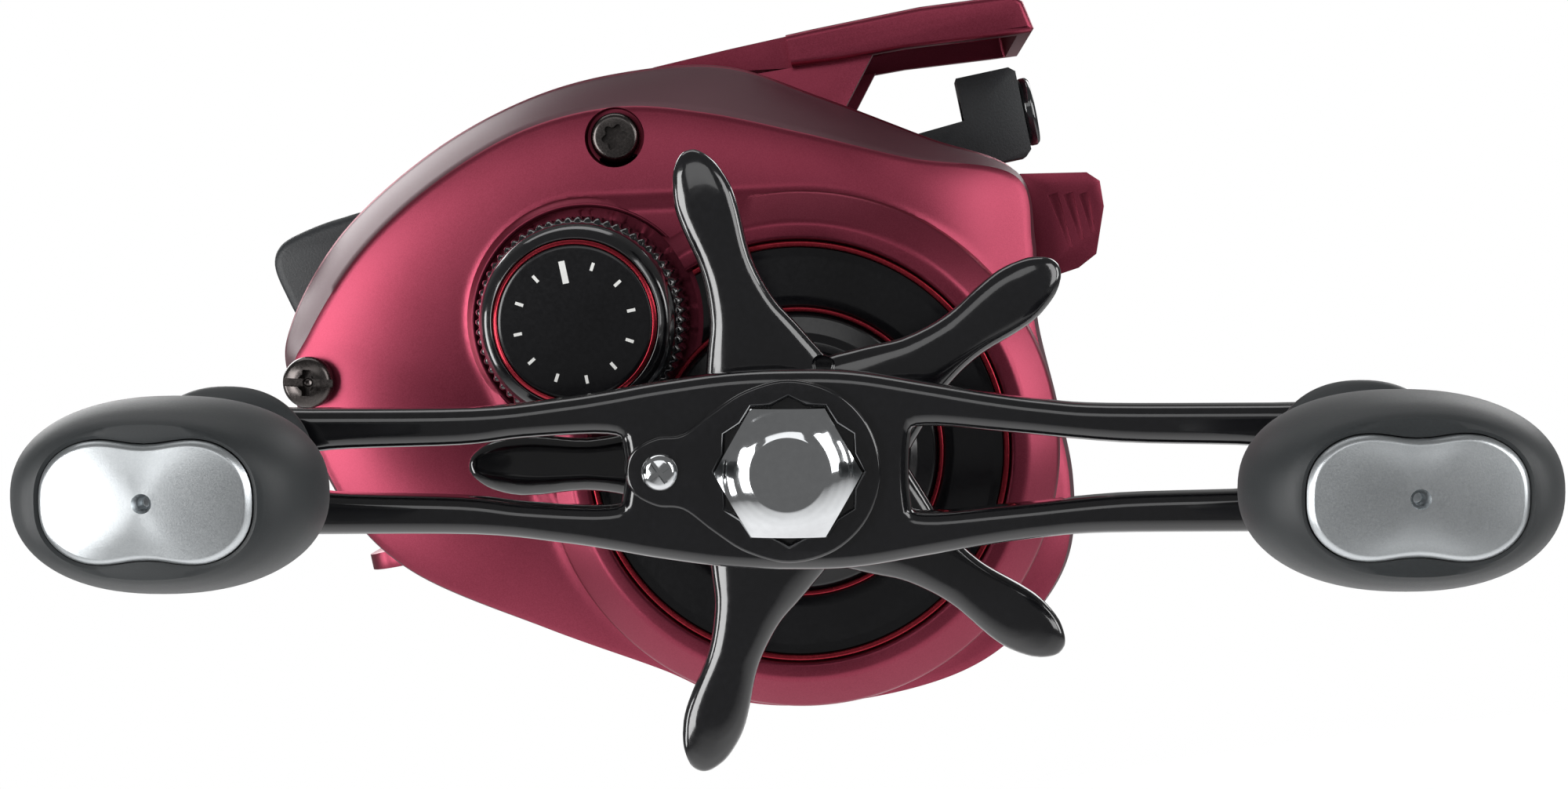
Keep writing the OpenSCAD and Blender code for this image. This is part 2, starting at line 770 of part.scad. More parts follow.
module thumb_bar() {
    color(black) {
        plate(-12.3, 12.3) difference() {
            polygon(smooth([[-30.6, 24.6], [-31.9, 28], [-32, 31], [-30, 33], [-26, 33.7], [-21.6, 33.4],
                     [-19, 30], [-18.9, 25.6], [-21, 24.4], [-24, 27.4], [-28.6, 25.2]], 3));
        }
        for (s = [-1, 1]) rod(lug_at, lug_r, s > 0 ? 12 : -12.6, s > 0 ? 16.4 : -12);
    }
}

module clutch_cam() {
    a = atan2(lug_at.y - spool_at.y, lug_at.x - spool_at.x);
    reach = norm(lug_at - spool_at);
    color(steel) {
        plate(15.1, 16.1) translate(spool_at) difference() {
            union() {
                circle(8.8);
                rotate(a) translate([0, -2]) square([reach + 1.2, 4]);
            }
            circle(5.5 + run);
            // Fork round the thumb bar's lug
            rotate(a) translate([reach - 2.2, -lug_r - 0.25]) square([5, 2 * lug_r + 0.5]);
        }
        for (s = [0, 180]) plate(16, 17) translate(spool_at) rotate(mesh_angle - 90 - 20 + s)
            translate([7.3, 0]) circle(1.2);
    }
}

/* ---- level wind ---- */

module idler_gear() {
    color(brass) difference() {
        gear_at(idler_at, wind_teeth[1], wind_module, train_angle + 180 + 180 / wind_teeth[1],
                wind_gear_out[0], wind_gear_out[1]);
        rod(idler_at, 0.9 + run, 15, 19);
    }
}

module worm_shaft() {
    color(steel) difference() {
        union() {
            rod(worm_at, 1.5, -15, 17.8);
            rod(worm_at, 2.4, -12.6, 12.6);
        }
        // Ring cuts stand for the two crossing helical grooves
        for (i = [-6:6]) ring(worm_at, 1.9, 3, i * 1.6 - 0.35, i * 1.6 + 0.35);
    }
}

module worm_gear() {
    color(brass) difference() {
        gear_at(worm_at, wind_teeth[2], wind_module, train_angle + 180 + 180 / wind_teeth[2],
                wind_gear_out[0], wind_gear_out[1]);
        rod(worm_at, 1.5, 15, 19);
    }
}

module line_guide() {
    color(black) difference() {
        union() {
            plate(-3.5, 3.5) {
                translate(worm_at) circle(5.2);
                polygon([[24.2, 22], [32.6, 22.8], [35.6, 26], [39.4, 26], [40, 26.6], [40, 34.2],
                    [39.4, 34.7],
                         [34.3, 34.7], [34.3, 30.6], [28, 30.2], [26.2, 28]]);
            }
            translate([worm_at.x, 0, 13.8]) cylinder(r = 2.7, h = 2.6);
        }
        rod(worm_at, 3.4 + run, -5, 5);
        rod(bar_at, 1 + run, -5, 5);
        translate([33, 0, eye_z]) rotate([0, 90, 0]) cylinder(r = 2.6, h = 9);
        translate([worm_at.x, 0, 13]) cylinder(r = 1.3, h = 5);
        translate([worm_at.x, 0, 13]) cylinder(r = 2.1, h = 1.8);
    }
}

module line_guide_ring() {
    color(carbon) translate([0, 0, eye_z]) rotate([0, 90, 0]) rotate_extrude()
        polygon([[2.2, 36], [2.55, 36], [2.55, 40], [3.1, 40], [3.3, 40.3], [3.3, 40.9], [3, 41.2],
            [2.5, 41.2], [2.2, 40.8]]);
}

module levelwind_pawl() {
    color(steel) translate([worm_at.x, 0, 0]) rotate_extrude()
        polygon([[0, 13.2], [1.6, 13.2], [2, 13.6], [2, 14.7], [1.2, 14.7], [1.2, 16.6], [0.6, 17],
            [0, 17]]);
}

/* ---- cast control ---- */

module cast_control_cap() {
    knurls = 56;
    color(black) difference() {
        union() {
            plate(27.6, 34.6) translate(spool_at) polygon([
                for (i = [0:2 * knurls - 1]) (cap_r - (i % 2) * 0.35) * [cos(i * 180 / knurls),
                    sin(i * 180 / knurls)]
            ]);
            turned(spool_at) polygon([[0, 34.6], [8.5, 34.6], [8.5, 36.6], [8.2, 37.4], [6.9, 38],
                [0, 38]]);
        }
        rod(spool_at, 6.4 + run, 27, 33.6);
        rod(spool_at, 2.4, 33, 34.2);
    }
}

/* ---- magnetic brake ---- */

module brake_dial() {
    ribs = 40;
    color(black) {
        plate(-palm_out - 1.8, 1 - palm_out) translate(spool_at) polygon([
            for (i = [0:2 * ribs - 1]) (8.7 - (i % 2) * 0.3) * [cos(i * 180 / ribs), sin(i * 180 / ribs)]
        ]);
        rod(spool_at, 7.8, -palm_out - 2.3, -palm_out - 1.7);
        rod(spool_at, 1.5, -palm_out, -20.4);
        // Pointer rib for the thumb
        plate(-palm_out - 3, -palm_out - 2.2) translate(spool_at) square([1.6, 13], center = true);
    }
}

module brake_magnets() {
    color(steel) {
        ring(spool_at, 4.6 + run, 8.9, -19.6, -18.4);
        for (i = [0:7]) rod(spool_at + 7.2 * [cos(i * 45), sin(i * 45)], 1.3, -18.5, -16.8);
    }
}

frame();
reel_foot();
foot_rivets();
front_hood();
handle_side_cover();
palm_side_cover();
top_cover_screw();
slotted_cover_screws();
palm_cover_screws();
drag_face_disc();
outer_trim_ring();
inner_trim_ring();
clutch_retainer_plate();
one_way_clutch();
drive_shaft_bearing();
spool_bearings();
worm_guard_tube();
guide_bar();
worm_bushes();
idler_pin();
yoke_posts();
yoke_springs();
drive_shaft();
levelwind_drive_gear();
drive_gear();
drag_washers();
drag_pressure_plate();
clutch_sleeve();
drag_spring_washers();
handle_spacer();
handle_arm();
handle_nut();
nut_retainer();
retainer_screw();
knob_posts();
knob_screws();
star_drag();
star_nut();
knob_grip_front();
knob_cap_front();
knob_bush_front();
knob_grip_rear();
knob_cap_rear();
knob_bush_rear();
spool();
spool_shaft();
brake_rotor();
clutch_yoke();
pinion_gear();
thumb_bar();
clutch_cam();
idler_gear();
worm_shaft();
worm_gear();
line_guide();
line_guide_ring();
levelwind_pawl();
cast_control_cap();
brake_dial();
brake_magnets();
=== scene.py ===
"""Looks of a low-profile baitcasting reel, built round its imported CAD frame.

Shapes are modelled in millimetres in the reel's own frame: x forward along the line, z up, and "out" the
distance from the spool's mid-plane towards the handle side, so y is minus out. A finished piece is scaled
to metres in its mesh.
"""

import json
import logging
import math
from dataclasses import dataclass
from enum import Enum
from typing import Optional, Sequence

import bmesh
import bpy
from mathutils import Matrix, Vector

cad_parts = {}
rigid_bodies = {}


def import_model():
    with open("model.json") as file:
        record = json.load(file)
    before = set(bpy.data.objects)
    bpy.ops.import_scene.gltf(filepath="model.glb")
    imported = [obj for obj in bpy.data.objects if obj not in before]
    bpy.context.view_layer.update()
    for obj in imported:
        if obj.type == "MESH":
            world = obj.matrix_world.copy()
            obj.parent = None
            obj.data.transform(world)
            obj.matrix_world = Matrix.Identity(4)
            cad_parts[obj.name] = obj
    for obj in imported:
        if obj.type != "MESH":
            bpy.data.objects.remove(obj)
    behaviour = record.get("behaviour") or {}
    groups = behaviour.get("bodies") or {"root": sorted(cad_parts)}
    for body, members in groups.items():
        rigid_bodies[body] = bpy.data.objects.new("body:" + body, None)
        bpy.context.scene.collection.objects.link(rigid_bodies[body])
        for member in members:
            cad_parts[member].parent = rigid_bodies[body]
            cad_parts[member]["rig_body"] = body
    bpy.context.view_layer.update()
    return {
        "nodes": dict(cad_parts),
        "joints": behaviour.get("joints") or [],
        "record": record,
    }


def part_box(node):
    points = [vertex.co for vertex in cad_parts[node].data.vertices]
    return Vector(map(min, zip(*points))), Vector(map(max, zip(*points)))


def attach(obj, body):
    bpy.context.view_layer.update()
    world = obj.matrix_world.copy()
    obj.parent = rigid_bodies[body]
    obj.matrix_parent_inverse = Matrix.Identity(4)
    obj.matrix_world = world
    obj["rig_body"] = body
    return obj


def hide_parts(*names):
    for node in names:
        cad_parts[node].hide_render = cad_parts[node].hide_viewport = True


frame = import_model()

logging.basicConfig(level=logging.INFO, format="%(message)s")
LOG = logging.getLogger("reel")

MM = 0.001
Point = tuple[float, float]


# ---------------------------------------------------------------- places taken from the frame


def joint_axis(name: str) -> Point:
    """Find where a joint's axis stands.

    Args:
        name: The joint's name in the record.

    Returns:
        Its x and z in millimetres.
    """
    pos = next(j["pos_m"] for j in frame["joints"] if j["name"] == name)
    return pos[0] / MM, pos[2] / MM


def node_box(name: str) -> tuple[Vector, Vector]:
    """Give a CAD node's lowest and highest corners in millimetres."""
    low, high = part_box(name)
    return low / MM, high / MM


DRIVE = joint_axis("handle_turn")
SPOOL = joint_axis("spool_spin")
KNOBS = (joint_axis("rear_knob_spin"), joint_axis("front_knob_spin"))
HANDLE_ANGLE = math.atan2(KNOBS[1][1] - KNOBS[0][1], KNOBS[1][0] - KNOBS[0][0])
HANDLE_SPAN = math.dist(*KNOBS)


# ---------------------------------------------------------------- colours and node helpers


def srgb(hex_colour: str) -> tuple[float, float, float, float]:
    """Turn an sRGB hex colour to linear light.

    Args:
        hex_colour: Six hex digits after a hash.

    Returns:
        Linear red, green, blue and an alpha of 1.
    """
    parts = [int(hex_colour[i : i + 2], 16) / 255 for i in (1, 3, 5)]
    linear = [c / 12.92 if c <= 0.04045 else ((c + 0.055) / 1.055) ** 2.4 for c in parts]
    return linear[0], linear[1], linear[2], 1.0


def add_node(tree: bpy.types.NodeTree, kind: str, settings: Optional[dict] = None, **links) -> bpy.types.Node:
    """Add one shader node.

    Args:
        tree: The material's node tree.
        kind: The node's type name.
        settings: Attributes to set on the node, such as an operation.
        **links: Input names (spaces as underscores, or in0, in1 for an index) to a value or an output socket.

    Returns:
        The new node.
    """
    node = tree.nodes.new(kind)
    for key, value in (settings or {}).items():
        setattr(node, key, value)
    for key, value in links.items():
        slot = int(key[2:]) if key[:2] == "in" and key[2:].isdigit() else key.replace("_", " ")
        socket = node.inputs[slot]
        if isinstance(value, bpy.types.NodeSocket):
            tree.links.new(value, socket)
        else:
            socket.default_value = value
    return node


# ---------------------------------------------------------------- finishes


@dataclass(frozen=True)
class Finish:
    """A surface finish: one Principled shader with grain in its colour, roughness and bump.

    grain_mm is the size of the real texture, and the pattern's scale is worked out from it.
    """

    name: str
    colour: str
    colour_2: str
    metallic: float = 0.0
    roughness: float = 0.4
    roughness_2: float = 0.5
    ior: float = 1.5
    grain_mm: float = 0.3
    bump_mm: float = 0.0
    coat: float = 0.0
    coat_roughness: float = 0.05
    wear_mm: float = 4.0
    stretch: tuple[float, float, float] = (1.0, 1.0, 1.0)
    sheen: float = 0.0

    def material(self) -> bpy.types.Material:
        """Build the material once and return it on later calls."""
        if self.name in bpy.data.materials:
            return bpy.data.materials[self.name]
        mat = bpy.data.materials.new(self.name)
        mat.use_nodes = True
        tree = mat.node_tree
        tree.nodes.clear()
        where = add_node(tree, "ShaderNodeTexCoord").outputs["Object"]
        place = add_node(tree, "ShaderNodeMapping", Vector=where, Scale=self.stretch).outputs["Vector"]
        grain = self.grain(tree, place)
        cloud = add_node(
            tree, "ShaderNodeTexNoise", Vector=place, Scale=1 / (self.wear_mm * MM), Detail=3.0,
            Roughness=0.55
        ).outputs["Fac"]
        both = add_node(tree, "ShaderNodeMath", {"operation": "MULTIPLY_ADD"}, in0=cloud, in1=0.45, in2=grain)
        tone = add_node(tree, "ShaderNodeMapRange", Value=both.outputs[0])
        tone.inputs["From Min"].default_value = 0.35
        tone.inputs["From Max"].default_value = 1.1
        colour = add_node(tree, "ShaderNodeMix", {"data_type": "RGBA"}, Factor=tone.outputs[0])
        colour.inputs[6].default_value = srgb(self.colour)
        colour.inputs[7].default_value = srgb(self.colour_2)
        rough = add_node(tree, "ShaderNodeMapRange", Value=tone.outputs[0])
        rough.inputs["To Min"].default_value = self.roughness
        rough.inputs["To Max"].default_value = self.roughness_2
        shader = add_node(
            tree,
            "ShaderNodeBsdfPrincipled",
            Base_Color=colour.outputs[2],
            Metallic=self.metallic,
            Roughness=rough.outputs[0],
            IOR=self.ior,
            Coat_Weight=self.coat,
            Coat_Roughness=self.coat_roughness,
            Sheen_Weight=self.sheen,
        )
        if self.bump_mm:
            bump = add_node(tree, "ShaderNodeBump", Height=grain, Distance=self.bump_mm * MM, Strength=1.0)
            tree.links.new(bump.outputs["Normal"], shader.inputs["Normal"])
        out = add_node(tree, "ShaderNodeOutputMaterial")
        tree.links.new(shader.outputs[0], out.inputs["Surface"])
        mat.diffuse_color = srgb(self.colour)
        return mat

    def grain(self, tree: bpy.types.NodeTree, place: bpy.types.NodeSocket) -> bpy.types.NodeSocket:
        """Add the finish's own small pattern and return its height, from 0 to 1."""
        return add_node(
            tree, "ShaderNodeTexNoise", Vector=place, Scale=1 / (self.grain_mm * MM), Detail=2.0,
            Roughness=0.6
        ).outputs["Fac"]


@dataclass(frozen=True)
class Weave(Finish):
    """A finish whose grain is a two-way weave of flat tows, grain_mm wide."""

    def grain(self, tree: bpy.types.NodeTree, place: bpy.types.NodeSocket) -> bpy.types.NodeSocket:
        """Add a checker of tows, which alternate in tone as woven carbon does."""
        return add_node(
            tree,
            "ShaderNodeTexChecker",
            Vector=place,
            Scale=1 / (self.grain_mm * MM),
            Color1=(1, 1, 1, 1),
            Color2=(0, 0, 0, 1),
        ).outputs["Fac"]


# Satin metallic paint on die-cast aluminium: fine flake, a soft broad highlight and no clear reflections
RED_PAINT = Finish("satin_metallic_red_paint", "#7C2238", "#92364C", metallic=0.9, roughness=0.31,
                   roughness_2=0.41,
                   grain_mm=0.11, bump_mm=0.006, coat=0.3, coat_roughness=0.38, wear_mm=9)
# The red paint darkened on the chamfered edge bands: painted shade where they face away from the light
SHADED_BAND_PAINT = Finish("satin_dark_maroon_paint", "#4A272F", "#5A323C", metallic=0.4, roughness=0.42,
                      roughness_2=0.52, grain_mm=0.16, bump_mm=0.005, wear_mm=9)
# Anodised aluminium, dyed red: a clear hue in the reflections
RED_ANODISED = Finish("red_anodised_aluminium", "#96202E", "#A83440", metallic=0.9, roughness=0.2,
                      roughness_2=0.3, grain_mm=0.2, wear_mm=3)
# Gloss black lacquer on forged aluminium: dark, mirror-like, with faint orange peel
GLOSS_BLACK = Finish("gloss_black_lacquer", "#08080A", "#111114", metallic=0.0, roughness=0.09,
                     roughness_2=0.17,
                     ior=1.6, grain_mm=0.5, bump_mm=0.002, coat=0.6, coat_roughness=0.04, wear_mm=5)
# Polished black ABS of the round face plates
BLACK_PLATE = Finish("polished_black_abs", "#070709", "#0E0E11", roughness=0.16, roughness_2=0.26, ior=1.54,
                     grain_mm=0.3, wear_mm=6)
# Moulded glass-filled nylon: dull, with a fine spark-eroded grain
MOULDED_BLACK = Finish("moulded_black_nylon", "#17191B", "#2A2D30", roughness=0.42, roughness_2=0.6,
                       grain_mm=0.22,
                       bump_mm=0.02, wear_mm=4)
# Soft-touch thermoplastic rubber: charcoal with a wide low sheen
SOFT_RUBBER = Finish("soft_touch_rubber", "#171A1C", "#202527", roughness=0.46, roughness_2=0.58,
                     grain_mm=0.18,
                     bump_mm=0.006, sheen=0.1, wear_mm=6)
# Bead-blasted aluminium, clear anodised: satin silver
SATIN_SILVER = Finish("bead_blasted_aluminium", "#C4C9CC", "#D4D8DA", metallic=1.0, roughness=0.3,
                      roughness_2=0.38, grain_mm=0.12, bump_mm=0.004, wear_mm=5)
# Polished chrome plate
CHROME = Finish("polished_chrome_plate", "#D2D4D6", "#DDDFE1", metallic=1.0, roughness=0.05, roughness_2=0.1,
                grain_mm=0.6, wear_mm=3)
# Black-nickel plated steel of the cover screws
BLACK_NICKEL = Finish("black_nickel_plate", "#4A4645", "#5E5957", metallic=1.0, roughness=0.2,
                      roughness_2=0.32,
                      grain_mm=0.2, wear_mm=2)
# Turned and anodised aluminium of the spool: fine rings run round its axis
TURNED_ALUMINIUM = Finish("turned_gunmetal_aluminium", "#74787C", "#8D9195", metallic=1.0, roughness=0.22,
                          roughness_2=0.34, grain_mm=0.25, bump_mm=0.002, stretch=(0.2, 6.0, 0.2), wear_mm=6)
# Ground stainless steel of shafts and small hardware
GROUND_STEEL = Finish("ground_stainless_steel", "#9FA3A6", "#B5B8BB", metallic=1.0, roughness=0.25,
                      roughness_2=0.36, grain_mm=0.15, bump_mm=0.002, stretch=(1.0, 0.3, 1.0), wear_mm=3)
# Cut brass of the gears
CUT_BRASS = Finish("machine_cut_brass", "#B08A45", "#C9A259", metallic=1.0, roughness=0.24, roughness_2=0.36,
                   grain_mm=0.2, bump_mm=0.003, wear_mm=3)
# Natural acetal, as the quiet gears and the yoke are moulded in
ACETAL = Finish("natural_acetal", "#D6D0BF", "#E2DDCE", roughness=0.4, roughness_2=0.5, grain_mm=0.4,
                wear_mm=5)
# Polished dark ceramic of the line guide's ring
CERAMIC = Finish("polished_dark_ceramic", "#151618", "#202225", roughness=0.06, roughness_2=0.12, ior=1.9,
                 grain_mm=0.5, wear_mm=2)
# Woven carbon of the drag washers
WOVEN_CARBON = Weave("woven_carbon_friction_disc", "#101113", "#2A2C2F", roughness=0.35, roughness_2=0.5,
                     grain_mm=1.2)
# White pad-printed ink
WHITE_INK = Finish("white_pad_print", "#E9E9E6", "#F3F3F0", roughness=0.45, roughness_2=0.55, grain_mm=0.2)

SLOT_FINISH: dict[str, Finish] = {
    "red_paint": RED_PAINT,
    "trim_red": RED_ANODISED,
    "gloss_black": GLOSS_BLACK,
    "cap_black": GLOSS_BLACK,
    "moulded_black": MOULDED_BLACK,
    "guide_ceramic": CERAMIC,
    "knob_rubber": SOFT_RUBBER,
    "satin_cap": SATIN_SILVER,
    "bright_chrome": CHROME,
    "dark_screw": BLACK_NICKEL,
    "spool_aluminium": TURNED_ALUMINIUM,
    "steel": GROUND_STEEL,
    "brass": CUT_BRASS,
    "moulded_gear": ACETAL,
    "carbon": WOVEN_CARBON,
}


# ---------------------------------------------------------------- mesh helpers, all in millimetres


def at(x: float, out: float, z: float) -> Vector:
    """Give the point at x and z, a distance out from the mid-plane."""
    return Vector((x, -out, z))


def smooth_loop(points: Sequence[Point], steps: int) -> list[Point]:
    """Pass a closed Catmull-Rom curve through some points.

    Args:
        points: The points that the outline passes through, in order.
        steps: How many points each span is divided into.

    Returns:
        The curve's points.
    """
    count = len(points)
    curve = []
    for i in range(count):
        a, b, c, d = (points[(i + k) % count] for k in (-1, 0, 1, 2))
        for j in range(steps):
            t = j / steps
            curve.append(
                tuple(
                    (2 * b[k] + (c[k] - a[k]) * t + (2 * a[k] - 5 * b[k] + 4 * c[k] - d[k]) * t * t
                     + (3 * b[k] - a[k] - 3 * c[k] + d[k]) * t**3) / 2
                    for k in (0, 1)
                )
            )
    return curve


def smooth_rows(rows: Sequence[Sequence[float]], steps: int) -> list[list[float]]:
    """Fill in the rows of a table of section sizes with a Catmull-Rom curve through each column."""
    last = len(rows) - 1
    table = []
    for i in range(last):
        a, b, c, d = (rows[min(max(i + k, 0), last)] for k in (-1, 0, 1, 2))
        for j in range(steps):
            t = j / steps
            table.append(
                [(2 * b[k] + (c[k] - a[k]) * t + (2 * a[k] - 5 * b[k] + 4 * c[k] - d[k]) * t * t
                  + (3 * b[k] - a[k] - 3 * c[k] + d[k]) * t**3) / 2 for k in range(len(b))]
            )
    return table + [list(rows[last])]


def loft(rings: Sequence[Sequence[Vector]], caps: bool = True) -> bmesh.types.BMesh:
    """Skin a row of closed rings, each of the same number of points.

    Args:
        rings: The rings in order.
        caps: Whether the first and last ring are filled.

    Returns:
        The skin as a bmesh.
    """
    bm = bmesh.new()
    count = len(rings[0])
    row = bmesh.ops.create_circle(bm, segments=count, radius=1.0)["verts"]
    for vert, place in zip(row, rings[0]):
        vert.co = place
    edges = [bm.edges.get((row[i], row[(i + 1) % count])) for i in range(count)]
    if caps:
        bm.faces.new(row)
    for ring in rings[1:]:
        made = bmesh.ops.extrude_edge_only(bm, edges=edges)["geom"]
        fresh = {v for v in made if isinstance(v, bmesh.types.BMVert)}
        row = [next(e.other_vert(v) for e in v.link_edges if e.other_vert(v) in fresh) for v in row]
        for vert, place in zip(row, ring):
            vert.co = place
        edges = [bm.edges.get((row[i], row[(i + 1) % count])) for i in range(count)]
    if caps:
        bm.faces.new(row)
    bmesh.ops.recalc_face_normals(bm, faces=bm.faces)
    return bm


def lathe(profile: Sequence[Point], centre: Point, steps: int = 128) -> bmesh.types.BMesh:
    """Turn a closed or axis-to-axis profile about an axis that runs across the reel.

    Args:
        profile: Points of (radius, out). A profile that doesn't touch the axis is closed on itself.
        centre: The axis, as x and z.
        steps: How many facets go round.

    Returns:
        The turned body.
    """
    bm = bmesh.new()
    verts = [bm.verts.new(at(centre[0] + r, o, centre[1])) for r, o in profile]
    pairs = list(zip(verts, verts[1:]))
    if profile[0][0] > 0 or profile[-1][0] > 0:
        pairs.append((verts[-1], verts[0]))
    edges = [bm.edges.new(pair) for pair in pairs]
    bmesh.ops.spin(bm, geom=verts + edges, cent=at(centre[0], 0, centre[1]), axis=(0, 1, 0), dvec=(0, 0, 0),
                   angle=math.tau, steps=steps, use_merge=True, use_duplicate=False)
    bmesh.ops.remove_doubles(bm, verts=bm.verts, dist=1e-4)
    bmesh.ops.recalc_face_normals(bm, faces=bm.faces)
    return bm


def fillet(profile: Sequence[Point], radius: float, steps: int = 3, closed: bool = False) -> list[Point]:
    """Round the corners of a profile.

    Args:
        profile: The corner points.
        radius: The largest distance from a corner at which its rounding starts.
        steps: How many pieces each corner is divided into.
        closed: Whether the first and last points are corners too.

    Returns:
        The rounded profile.
    """
    count = len(profile)
    done: list[Point] = []
    for i, here in enumerate(profile):
        if not closed and i in (0, count - 1):
            done.append(here)
            continue
        before, after = Vector(profile[i - 1]), Vector(profile[(i + 1) % count])
        corner = Vector(here)
        size = min(radius, (before - corner).length * 0.48, (after - corner).length * 0.48)
        start = corner + (before - corner).normalized() * size
        end = corner + (after - corner).normalized() * size
        for k in range(steps + 1):
            t = k / steps
            done.append(tuple(start * (1 - t) ** 2 + corner * 2 * t * (1 - t) + end * t * t))
    return done


def slab(outlines: Sequence[Sequence[Point]], start: float, stop: float, edge: float = 0.3,
         segments: int = 3) -> bmesh.types.BMesh:
    """Cut a plate with rounded edges from an outline and its holes.

    Args:
        outlines: The outer outline, then any holes, in x and z.
        start: The plate's nearer face, as a distance out.
        stop: The plate's further face.
        edge: The radius of its edges.
        segments: How many pieces each edge's rounding has.

    Returns:
        The plate.
    """
    curve = bpy.data.curves.new("outline", "CURVE")
    curve.dimensions = "2D"
    curve.fill_mode = "BOTH"
    for outline in outlines:
        spline = curve.splines.new("POLY")
        spline.points.add(len(outline) - 1)
        for point, (x, z) in zip(spline.points, outline):
            point.co = (x, z, 0, 1)
        spline.use_cyclic_u = True
    curve.extrude = (stop - start) / 2 - edge
    curve.bevel_depth = edge
    curve.bevel_resolution = segments - 1
    curve.offset = -edge
    holder = bpy.data.objects.new("outline", curve)
    bpy.context.scene.collection.objects.link(holder)
    mesh = bpy.data.meshes.new_from_object(holder.evaluated_get(bpy.context.evaluated_depsgraph_get()))
    bm = bmesh.new()
    bm.from_mesh(mesh)
    bpy.data.objects.remove(holder)
    bpy.data.curves.remove(curve)
    bpy.data.meshes.remove(mesh)
    bmesh.ops.remove_doubles(bm, verts=bm.verts, dist=1e-3)
    turn = Matrix(((1, 0, 0, 0), (0, 0, -1, -(start + stop) / 2), (0, 1, 0, 0), (0, 0, 0, 1)))
    bmesh.ops.transform(bm, matrix=turn, verts=bm.verts)
    bmesh.ops.recalc_face_normals(bm, faces=bm.faces)
    return bm


def within(outline: Sequence[Point], spot: Point) -> bool:
    """Tell whether a spot is inside a closed outline."""
    inside = False
    for (x0, z0), (x1, z1) in zip(outline, list(outline[1:]) + [outline[0]]):
        if (z0 > spot[1]) != (z1 > spot[1]) and spot[0] < x0 + (spot[1] - z0) / (z1 - z0) * (x1 - x0):
            inside = not inside
    return inside


def circle(centre: Point, radius: float, steps: int = 64, start: float = 0.0) -> list[Point]:
    """Give the points of a circle, the first at the angle start."""
    turns = [start + math.tau * i / steps for i in range(steps)]
    return [(centre[0] + radius * math.cos(a), centre[1] + radius * math.sin(a)) for a in turns]


def cylinder(centre: Point, radius: float, start: float, stop: float, steps: int = 96) -> bmesh.types.BMesh:
    """Make a plain cylinder across the reel, used as a cutter or a core."""
    return lathe([(0, start), (radius, start), (radius, stop), (0, stop)], centre, steps)


def temporary(bm: bmesh.types.BMesh) -> bpy.types.Object:
    """Put a bmesh in a scene object for a modifier, and free the bmesh."""
    mesh = bpy.data.meshes.new("work")
    bm.to_mesh(mesh)
    bm.free()
    obj = bpy.data.objects.new("work", mesh)
    bpy.context.scene.collection.objects.link(obj)
    return obj


def taken_back(obj: bpy.types.Object) -> bmesh.types.BMesh:
    """Read an object's finished mesh into a bmesh and remove the object."""
    mesh = bpy.data.meshes.new_from_object(obj.evaluated_get(bpy.context.evaluated_depsgraph_get()))
    bm = bmesh.new()
    bm.from_mesh(mesh)
    bpy.data.meshes.remove(mesh)
    old = obj.data
    bpy.data.objects.remove(obj)
    bpy.data.meshes.remove(old)
    return bm


def absorb(bm: bmesh.types.BMesh, part: bmesh.types.BMesh) -> None:
    """Add one bmesh's geometry to another, and free it."""
    mesh = bpy.data.meshes.new("work")
    part.to_mesh(mesh)
    part.free()
    bm.from_mesh(mesh)
    bpy.data.meshes.remove(mesh)


class Join(Enum):
    """How two solids are put together."""

    CUT = "DIFFERENCE"
    WELD = "UNION"
    COMMON = "INTERSECT"


def combine(body: bmesh.types.BMesh, how: Join, *tools: bmesh.types.BMesh) -> bmesh.types.BMesh:
    """Cut, weld or intersect a solid with others, one after another.

    Args:
        body: The first solid, which is used up.
        how: What is done with the others.
        *tools: The other solids, which are used up too.

    Returns:
        The result.
    """
    for tool in tools:
        first, second = temporary(body), temporary(tool)
        step = first.modifiers.new("join", "BOOLEAN")
        step.operation = how.value
        step.solver = "EXACT"
        step.object = second
        body = taken_back(first)
        old = second.data
        bpy.data.objects.remove(second)
        bpy.data.meshes.remove(old)
    return body


def blended(body: bmesh.types.BMesh, voxel: float, passes: int) -> bmesh.types.BMesh:
    """Melt overlapping solids into one skin and relax it, as a casting's fillets are.

    Args:
        body: The overlapping solids.
        voxel: The grid of the new skin, in millimetres.
        passes: How many smoothing passes it gets.

    Returns:
        The new skin.
    """
    obj = temporary(body)
    grid = obj.modifiers.new("grid", "REMESH")
    grid.mode = "VOXEL"
    grid.voxel_size = voxel
    relax = obj.modifiers.new("relax", "SMOOTH")
    relax.factor = 0.5
    relax.iterations = passes
    return taken_back(obj)


def bevel_sharp(bm: bmesh.types.BMesh, width: float, segments: int = 2,
                angle: float = 32.0) -> bmesh.types.BMesh:
    """Round every edge that turns more than an angle.

    Args:
        bm: The mesh to change.
        width: The bevel's width.
        segments: How many pieces it has.
        angle: The smallest turn that is rounded, in degrees.

    Returns:
        The same mesh.
    """
    limit = math.radians(angle)
    sharp = [e for e in bm.edges if len(e.link_faces) == 2 and e.calc_face_angle(0) > limit]
    bmesh.ops.bevel(bm, geom=sharp, offset=width, segments=segments, affect="EDGES", profile=0.5,
                    material=-1, clamp_overlap=True)
    return bm


def on_handle(bm: bmesh.types.BMesh) -> bmesh.types.BMesh:
    """Move a shape drawn round the origin, x along the handle, to the handle's place."""
    turn = Matrix.Translation(at(DRIVE[0], 0, DRIVE[1])) @ Matrix.Rotation(-HANDLE_ANGLE, 4, "Y")
    bmesh.ops.transform(bm, matrix=turn, verts=bm.verts)
    return bm


